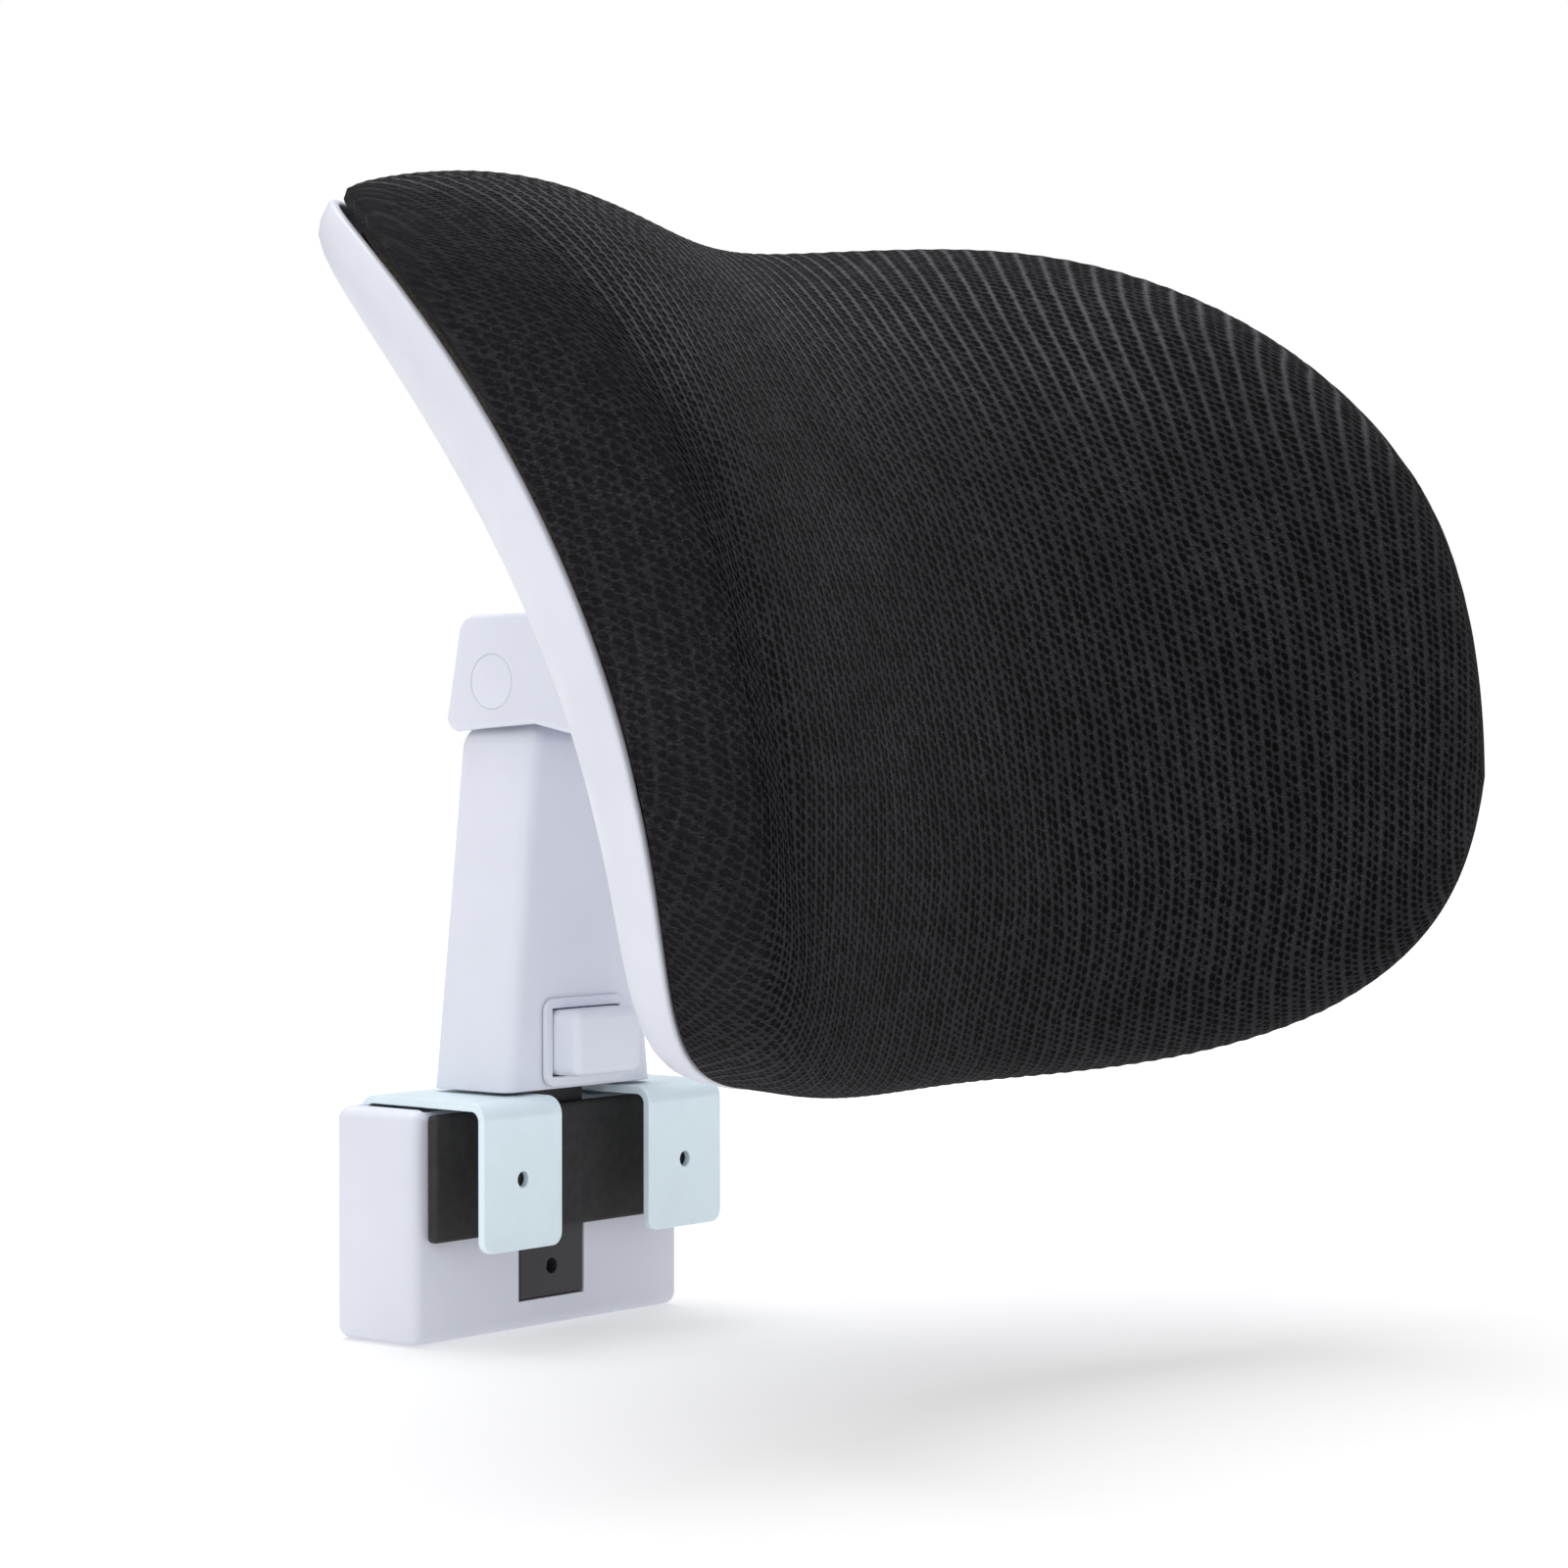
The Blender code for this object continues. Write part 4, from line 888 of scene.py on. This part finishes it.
def shell():
    """The tray behind the cushion, its rim rounded, with the land and bosses that screws go through."""
    columns, rows = 132, 96
    across, up = unit_grid(columns, rows)
    piece = add("shell", mesh_from("shell", shell_surface(across, up), grid_faces(columns, rows, flip=True)))
    wall = piece.modifiers.new("wall", "SOLIDIFY")
    wall.thickness = SHELL_WALL
    wall.offset = -1
    wall.use_even_offset = True
    bevel(piece, 0.0008, 3, angle=60)
    settle(piece)
    join(piece, leaning_block("land", 0.0110, LAND_DEPTH, 0.001))
    _, outward = land_frame()
    for i, point in enumerate(flange_screw_points(), 1):
        cut(piece, rod(f"land hole {i}", point + outward * 0.009, point + outward * 0.025, SCREW_HOLE, 24))
    for i, (x, z) in enumerate(fixing_points(), 1):
        foot, square = back_point(x, z, 0)
        top = foot + square * SHELL_SCREW_DEPTH
        seat = top - square * GAP
        join(piece, rod(f"boss {i}", foot + square * 0.0056, top, 0.0045))
        cut(piece, rod(f"boss hole {i}", foot + square * 0.002, foot + square * 0.020, SCREW_HOLE, 24))
        cut(piece, rod(f"boss seat {i}", seat, foot + square * 0.020, SCREW_SEAT))
    settle(piece)
    dress(piece, "white_plastic", "headrest", "rear_shell")
    # Its slot stays white plastic, and it gets a copy of that plastic painted a little darker than the
    # stem's, as painted shade.
    piece.data.materials[0] = MATERIALS["shaded_shell_plastic"]


def arm_outline():
    """Side view of the arm, from the rear of its hood round by the top to its flange and back below."""
    foot, outward = land_frame()
    along = along_lean()
    root = foot + outward * (LAND_DEPTH + FLANGE / 2)
    top, bottom = root + along * 0.0150, root - along * 0.0125
    rear_low = arc((0.0170, 0.1046), 0.0032, -90, 0, 10)
    rear_high = arc((0.0115, 0.1236), 0.0050, 10, 90, 12)
    under = [(-0.0400, 0.0980), (-0.0170, 0.1012), (-0.0070, 0.1032), (0.0080, 0.1022)]
    over = [(-0.0140, 0.1288), (-0.0340, 0.1268), (top.y, top.z), (bottom.y, bottom.z)]
    return rear_low + rear_high + over + under


def on_axle(x):
    return x, TILT_Y, TILT_Z


def arm():
    piece = side_profile("arm", arm_outline(), -ARM_HALF_WIDTH, ARM_HALF_WIDTH)
    bevel(piece, 0.0014, 5)
    low = LAND_DEPTH + GAP
    join(piece, leaning_block("flange", low, low + FLANGE, 0.001))
    _, outward = land_frame()
    for i, point in enumerate(flange_screw_points(), 1):
        seat = point + outward * (LAND_DEPTH + 0.0033)
        cut(piece, rod(f"flange hole {i}", point + outward * 0.012, point + outward * 0.030, SCREW_HOLE, 24))
        cut(piece, rod(f"flange seat {i}", seat, point + outward * 0.040, SCREW_SEAT))
    slot_ends = on_axle(-SLOT_HALF_WIDTH), on_axle(SLOT_HALF_WIDTH)
    cut(piece, rod("knuckle slot", *slot_ends, KNUCKLE_RADIUS + 3 * GAP, 64))
    hood_low = (-HOOD_HALF_WIDTH, TILT_Y - HOOD_FRONT, TILT_Z - 0.03)
    hood_high = (HOOD_HALF_WIDTH, TILT_Y + HOOD_REAR, TILT_Z - HOOD_CEILING)
    cut(piece, block("hood hollow", hood_low, hood_high))
    cut(piece, rod("axle hole", on_axle(-PAST_ARM), on_axle(PAST_ARM), AXLE_RADIUS + GAP))
    for side in (-1, 1):
        start, end = on_axle(side * AXLE_RECESS_X), on_axle(side * PAST_ARM)
        cut(piece, rod(f"axle recess {side}", start, end, AXLE_RECESS_RADIUS, 64))
    settle(piece)
    dress(piece, "white_plastic", "headrest", "tilt_arm", flat_faces=True)


def axle_plugs():
    """Flush plugs over the ends of the tilt axle, in the arm's recesses."""
    for word, side in SIDES:
        start, end = on_axle(side * AXLE_PLUG_X), on_axle(side * (ARM_HALF_WIDTH - 0.00002))
        piece = rod(f"axle_plug_{word}", start, end, AXLE_RECESS_RADIUS - 0.00004, 128)
        settle(piece)
        dress(piece, "white_plastic", "headrest", f"axle_cap_{word}", flat_faces=True)


# Stem


def stem_half_width(z):
    share = (z - STEM_BOTTOM) / (STEM_TOP - STEM_BOTTOM)
    return STEM_BOTTOM_HALF_WIDTH + share * (STEM_TOP_HALF_WIDTH - STEM_BOTTOM_HALF_WIDTH)


def tapered_block(name, front, rear, bottom, top, inset):
    """A post that narrows with the stem, inset from the stem's sides."""
    form = bmesh.new()
    bmesh.ops.create_cube(form, size=1.0)
    for vert in form.verts:
        z = bottom if vert.co.z < 0 else top
        x = math.copysign(stem_half_width(z) - inset, vert.co.x)
        vert.co = (x, front if vert.co.y < 0 else rear, z)
    return from_form(name, form)


def boss_points():
    x = stem_half_width(STEM_BOSS_Z) - STEM_WALL - STEM_BOSS_RADIUS - GAP
    return [(-x, STEM_BOSS_Z), (x, STEM_BOSS_Z)]


def stem_screw_points():
    return boss_points() + [(-NECK_SCREW_X, NECK_SCREW_Z), (NECK_SCREW_X, NECK_SCREW_Z)]


def stem_body():
    piece = tapered_block("stem_body", STEM_FRONT, STEM_REAR, STEM_BOTTOM, STEM_TOP, 0.0)

    def weight(a, b):
        if max(a.z, b.z) < STEM_BOTTOM + 0.001:
            return 0.0
        if min(a.z, b.z) > STEM_TOP - 0.001:
            return 1.0
        return (STEM_REAR_EDGE if min(a.y, b.y) > 0 else STEM_SIDE_EDGE) / STEM_TOP_EDGE

    weigh_edges(piece, weight)
    bevel(piece, STEM_TOP_EDGE, 8)
    piece.modifiers[-1].limit_method = "WEIGHT"
    front, inner_rear = STEM_FRONT + STEM_WALL, STEM_REAR - COVER_THICKNESS
    cut(piece, tapered_block("hollow", front, inner_rear, 0.0, STEM_TOP - STEM_WALL, STEM_WALL))
    cut(piece, tapered_block("rear opening", 0.0, BEHIND_STEM, 0.0, COVER_TOP + GAP, STEM_WALL))
    neck_x, neck_y = KNUCKLE_HALF_WIDTH + 2 * GAP, NECK_HALF_DEPTH + 2 * GAP
    cut(piece, block("neck opening", (-neck_x, TILT_Y - neck_y, 0.09), (neck_x, TILT_Y + neck_y, 0.12)))
    opening_low = (-BUTTON_HALF_WIDTH - GAP, -0.02, BUTTON_BOTTOM - GAP)
    opening_high = (BUTTON_HALF_WIDTH + GAP, 0.0, BUTTON_TOP + GAP)
    cut(piece, block("button opening", opening_low, opening_high))
    for side, (x, z) in enumerate(boss_points(), 1):
        root, tip = (x, STEM_FRONT + 0.001, z), (x, inner_rear - GAP, z)
        join(piece, rod(f"boss {side}", root, tip, STEM_BOSS_RADIUS, 24))
        cut(piece, rod(f"boss hole {side}", (x, 0.004, z), (x, BEHIND_STEM, z), SCREW_RADIUS, 24))
    settle(piece)
    dress(piece, "white_plastic", "stem", "stem_housing", flat_faces=True)


def stem_cover():
    size = (STEM_REAR - COVER_THICKNESS, STEM_REAR, STEM_BOTTOM, COVER_TOP, STEM_WALL + GAP)
    piece = tapered_block("stem_cover", *size)
    bevel(piece, 0.0005, 4)
    for i, (x, z) in enumerate(stem_screw_points(), 1):
        cut(piece, rod(f"hole {i}", (x, 0.01, z), (x, BEHIND_STEM, z), 0.0016, 24))
        cut(piece, rod(f"seat {i}", (x, STEM_REAR - 0.0011, z), (x, BEHIND_STEM, z), 0.0029, 32))
    settle(piece)
    dress(piece, "white_plastic", "stem", "stem_rear_cover", flat_faces=True)


def button_ring():
    low = (-BUTTON_HALF_WIDTH - BEZEL, STEM_FRONT - GAP - BEZEL_PROUD, BUTTON_BOTTOM - BEZEL)
    high = (BUTTON_HALF_WIDTH + BEZEL, STEM_FRONT - GAP, BUTTON_TOP + BEZEL)
    piece = block("button_ring", low, high)
    weigh_edges(piece, lambda a, b: 1.0 if abs(a.y - b.y) > 0.0005 else 0.0)
    bevel(piece, 0.0030, 8)
    piece.modifiers[-1].limit_method = "WEIGHT"
    hole_low = (-BUTTON_HALF_WIDTH - GAP, -0.03, BUTTON_BOTTOM - GAP)
    hole_high = (BUTTON_HALF_WIDTH + GAP, 0.03, BUTTON_TOP + GAP)
    cut(piece, block("button hole", hole_low, hole_high))
    settle(piece)
    bevel(piece, 0.00025, 2)
    dress(piece, "white_plastic", "stem", "button_bezel")


def button_cap():
    rear = STEM_FRONT + STEM_WALL + GAP
    low, high = (-BUTTON_HALF_WIDTH, BUTTON_FRONT, BUTTON_BOTTOM), (BUTTON_HALF_WIDTH, rear, BUTTON_TOP)
    piece = block("button_cap", low, high, edge=0.0022)
    settle(piece)
    dress(piece, "white_plastic", "button", "release_button", flat_faces=True)


def button_springs():
    """The coils behind the button's ends, built as fixed meshes. The real ones shorten as the button is
    pressed.
    """
    length = SPRING_REAR - SPRING_FRONT
    steps = 36 * SPRING_TURNS
    for word, side in SIDES:
        wire = bpy.data.curves.new("spring wire", "CURVE")
        wire.dimensions = "3D"
        wire.bevel_depth = SPRING_WIRE
        wire.bevel_resolution = 3
        wire.use_fill_caps = True
        spline = wire.splines.new("POLY")
        spline.points.add(steps)
        for i, point in enumerate(spline.points):
            turn = 2 * math.pi * SPRING_TURNS * i / steps
            x = side * SPRING_X + SPRING_RADIUS * math.cos(turn)
            point.co = (x, SPRING_FRONT + length * i / steps, SPRING_Z + SPRING_RADIUS * math.sin(turn), 1.0)
        path = add("spring path", wire)
        mesh = bpy.data.meshes.new_from_object(finished(path))
        bpy.data.objects.remove(path, do_unlink=True)
        piece = add(f"button_coil_{word}", mesh)
        dress(piece, "bright_steel", "button", f"button_spring_{word}", sharp=60)
        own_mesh(piece)


# Base and hooks


def base_body():
    piece = block("base_body", BASE_LOW, BASE_HIGH, edge=0.0030)
    half = HOOK_WIDTH / 2 + GAP
    for side in (-1, 1):
        centre = side * HOOK_X
        pocket_low = (centre - half, POCKET_FRONT, POCKET_BOTTOM)
        cut(piece, block(f"hook pocket {side}", pocket_low, (centre + half, POCKET_REAR, ABOVE_BASE)))
        hole_ends = (centre, 0.02, CLAMP_Z), (centre, BEHIND_BASE, CLAMP_Z)
        cut(piece, rod(f"clamp hole {side}", *hole_ends, CLAMP_RADIUS + GAP))
    channel = MAST_HALF_WIDTH + GAP
    channel_low = (-channel, 0.0, MAST_BOTTOM - GAP)
    cut(piece, block("mast channel", channel_low, (channel, MAST_REAR + GAP, ABOVE_BASE)))
    for i, z in enumerate(MAST_SCREW_HEIGHTS, 1):
        cut(piece, rod(f"screw hole {i}", (0, 0.005, z), (0, BEHIND_BASE, z), SCREW_HOLE, 24))
        cut(piece, rod(f"screw seat {i}", (0, MAST_SCREW_Y - GAP, z), (0, BEHIND_BASE, z), SCREW_SEAT))
    settle(piece)
    dress(piece, "white_plastic", "base", "base_housing", flat_faces=True)


def hook_strip(word, centre):
    """A bent strip of sheet steel with rounded corners and edges."""
    top = HOOK_TOP - HOOK_SHEET / 2
    over = arc((HOOK_FRONT_Y + HOOK_BEND, top - HOOK_BEND), HOOK_BEND, 180, 90, 10)
    down = arc((HOOK_REAR_Y - HOOK_BEND, top - HOOK_BEND), HOOK_BEND, 90, 0, 10)
    path = [(HOOK_FRONT_Y, HOOK_FRONT_BOTTOM), *over, *down, (HOOK_REAR_Y, HOOK_REAR_BOTTOM)]
    form = bmesh.new()
    rows = [[form.verts.new((centre + s * HOOK_WIDTH / 2, y, z)) for s in (-1, 1)] for y, z in path]
    for lower, upper in zip(rows, rows[1:]):
        form.faces.new((lower[0], lower[1], upper[1], upper[0]))
    corners = [*rows[0], *rows[-1]]
    bmesh.ops.bevel(form, geom=corners, offset=HOOK_CORNER, segments=10, profile=0.5, affect="VERTICES")
    piece = from_form(f"hook_strip_{word}", form)
    wall = piece.modifiers.new("wall", "SOLIDIFY")
    wall.thickness = HOOK_SHEET
    wall.offset = 0
    wall.use_even_offset = True
    cut(piece, rod("front hole", (centre, -0.03, 0), (centre, 0.0, 0), HOOK_HOLE, 32))
    hole_ends = (centre, 0.015, CLAMP_Z), (centre, BEHIND_BASE, CLAMP_Z)
    cut(piece, rod("rear hole", *hole_ends, CLAMP_RADIUS + GAP))
    bevel(piece, 0.00035, 3, angle=60)
    settle(piece)
    dress(piece, "zinc_steel", f"hook_{word}", f"hook_{word}", flat_faces=True)


# Screws


def screw_mesh(name, head_radius, head_height, shank_radius, length, drive):
    """A screw along -Z, its head's underside at the origin, with a six-sided or a crossed recess."""
    crown_edge = head_height * 0.3
    corner = arc((head_radius - crown_edge, head_height - crown_edge), crown_edge, 90, 0, 5)
    tip = [(shank_radius, shank_radius - length), (shank_radius * 0.35, -length), (0, -length)]
    profile = [(0, head_height), *corner, (head_radius, 0), (shank_radius, 0), *tip]
    form = bmesh.new()
    points = [form.verts.new((radius, 0, height)) for radius, height in profile]
    for first, second in zip(points, points[1:]):
        form.edges.new((first, second))
    blank = from_form(name, form)
    spin = blank.modifiers.new("turn", "SCREW")
    spin.steps = 36
    spin.render_steps = 36
    spin.use_merge_vertices = True
    spin.merge_threshold = 0.00001
    depth = head_height * 0.6
    if drive == "hex":
        socket = (0, 0, head_height - depth), (0, 0, head_height * 2)
        cut(blank, rod(name + " drive", *socket, head_radius * 0.55, 6))
    else:
        reach, half = head_radius * 0.62, head_radius * 0.14
        for i, (x, y) in enumerate(((reach, half), (half, reach))):
            cut(blank, block(f"{name} drive {i}", (-x, -y, head_height - depth), (x, y, head_height * 2)))
    settle(blank)
    mesh = blank.data
    bpy.data.objects.remove(blank, do_unlink=True)
    return mesh


def drive_in(name, mesh, position, direction, body, node):
    """A copy of a screw whose own +Z points along direction."""
    piece = add(name, mesh.copy())
    piece.location = position
    aim(piece, Vector(direction))
    dress(piece, "bright_steel", body, node)


def screws():
    """Every screw, with its head's radius and height, its shank's radius, its length and its drive."""
    shell_screw = screw_mesh("shell screw", 0.0034, 0.0020, SCREW_RADIUS, 0.0100, "cross")
    for i, (x, z) in enumerate(fixing_points(), 1):
        foot, square = back_point(x, z, 0)
        place = foot + square * SHELL_SCREW_DEPTH
        drive_in(f"shell_fixing_{i}", shell_screw, place, square, "headrest", f"shell_screw_{i}")
    arm_screw = screw_mesh("arm screw", 0.0034, 0.0022, SCREW_RADIUS, 0.0095, "cross")
    _, outward = land_frame()
    for i, point in enumerate(flange_screw_points(), 1):
        place = point + outward * (LAND_DEPTH + 0.0036)
        drive_in(f"arm_fixing_{i}", arm_screw, place, outward, "headrest", f"arm_screw_{i}")
    stem_screw = screw_mesh("stem screw", 0.0026, 0.0014, 0.0012, 0.0085, "cross")
    for i, (x, z) in enumerate(stem_screw_points(), 1):
        place = (x, STEM_REAR - 0.0008, z)
        drive_in(f"stem_fixing_{i}", stem_screw, place, (0, 1, 0), "stem", f"stem_screw_{i}")
    mast_screw = screw_mesh("mast screw", 0.0036, 0.0022, 0.0016, 0.0205, "cross")
    for i, z in enumerate(MAST_SCREW_HEIGHTS, 1):
        place = (0, MAST_SCREW_Y, z)
        drive_in(f"mast_fixing_{i}", mast_screw, place, (0, 1, 0), "base", f"mast_screw_{i}")
    clamp_screw = screw_mesh("clamp screw", 0.0052, 0.005, CLAMP_RADIUS, 0.0254, "hex")
    for word, side in SIDES:
        place, node = (side * HOOK_X, CLAMP_SCREW_Y, CLAMP_Z), f"clamp_screw_{word}"
        drive_in(f"clamp_fixing_{word}", clamp_screw, place, (0, 1, 0), node, node)


# Studio


def studio():
    """A pale floor in a white surround, with a large soft light from the left and one from above."""
    form = bmesh.new()
    bmesh.ops.create_circle(form, cap_ends=True, segments=96, radius=FLOOR_RADIUS)
    floor = from_form("floor", form)
    floor.location = (0, 0, CAD_BOX[0].z - 0.0003)
    look = Look("floor_look", (0.86, 0.86, 0.87), 0.9)
    here = look.place()
    pale = look.mix(look.noise(here, 6, 3), (0.54, 0.54, 0.55), (0.57, 0.57, 0.58))
    look.surface("Base Color", pale)
    # It glows more away from the object, so that it meets the white surround with no horizon.
    away = look.tree.nodes.new("ShaderNodeVectorMath")
    away.operation = "LENGTH"
    look.feed(away.inputs[0], here)
    look.surface("Emission Color", (1, 1, 1, 1))
    glow = look.spread(away.outputs["Value"], 0.25, 0.95, 0.42, 0.86, smooth=True)
    look.surface("Emission Strength", glow)
    floor.data.materials.append(look.material)

    world = bpy.data.worlds.new("surround")
    bpy.context.scene.world = world
    world.use_nodes = True
    tree = world.node_tree
    background = tree.nodes["Background"]
    background.inputs["Color"].default_value = (1.0, 1.0, 1.0, 1.0)
    # The surround itself is white, and it lights the object less than a white room would.
    seen = tree.nodes.new("ShaderNodeLightPath").outputs["Is Camera Ray"]
    level = tree.nodes.new("ShaderNodeMapRange")
    level.inputs["To Min"].default_value = SURROUND_LIGHT
    tree.links.new(seen, level.inputs["Value"])
    tree.links.new(level.outputs[0], background.inputs["Strength"])

    for name, place, size, power in (
        ("left softbox", (-1.35, -0.65, 1.0), 1.2, 7.4),
        ("overhead softbox", (0.1, 0.3, 1.7), 1.4, 27),
    ):
        data = bpy.data.lights.new(name, "AREA")
        data.size = size
        data.energy = power
        lamp = add(name, data)
        lamp.location = place
        aim(lamp, Vector(place) - Vector(LIGHTS_AIM))


def camera():
    data = bpy.data.cameras.new("camera")
    data.lens = CAMERA_LENS
    data.sensor_width = 36
    eye = add("camera", data)
    eye.location = CAMERA_EYE
    target = (CAD_BOX[0] + CAD_BOX[1]) / 2
    aim(eye, eye.location - target)
    bpy.context.scene.camera = eye
    bpy.context.scene.view_settings.view_transform = "Standard"


def refinish(node, slot):
    """Gives a CAD node that stays its better material."""
    for place in node.material_slots:
        place.material = MATERIALS[slot]


SLOTS = {entry["node"]: entry["material_slot"] for entry in frame["record"]["subparts"]}
for node_name, node in frame["nodes"].items():
    refinish(node, SLOTS[node_name])

cushion()
foam_core()
shell()
arm()
axle_plugs()
stem_body()
stem_cover()
button_ring()
button_cap()
button_springs()
base_body()
for word, side in SIDES:
    hook_strip(word, side * HOOK_X)
screws()
studio()
camera()
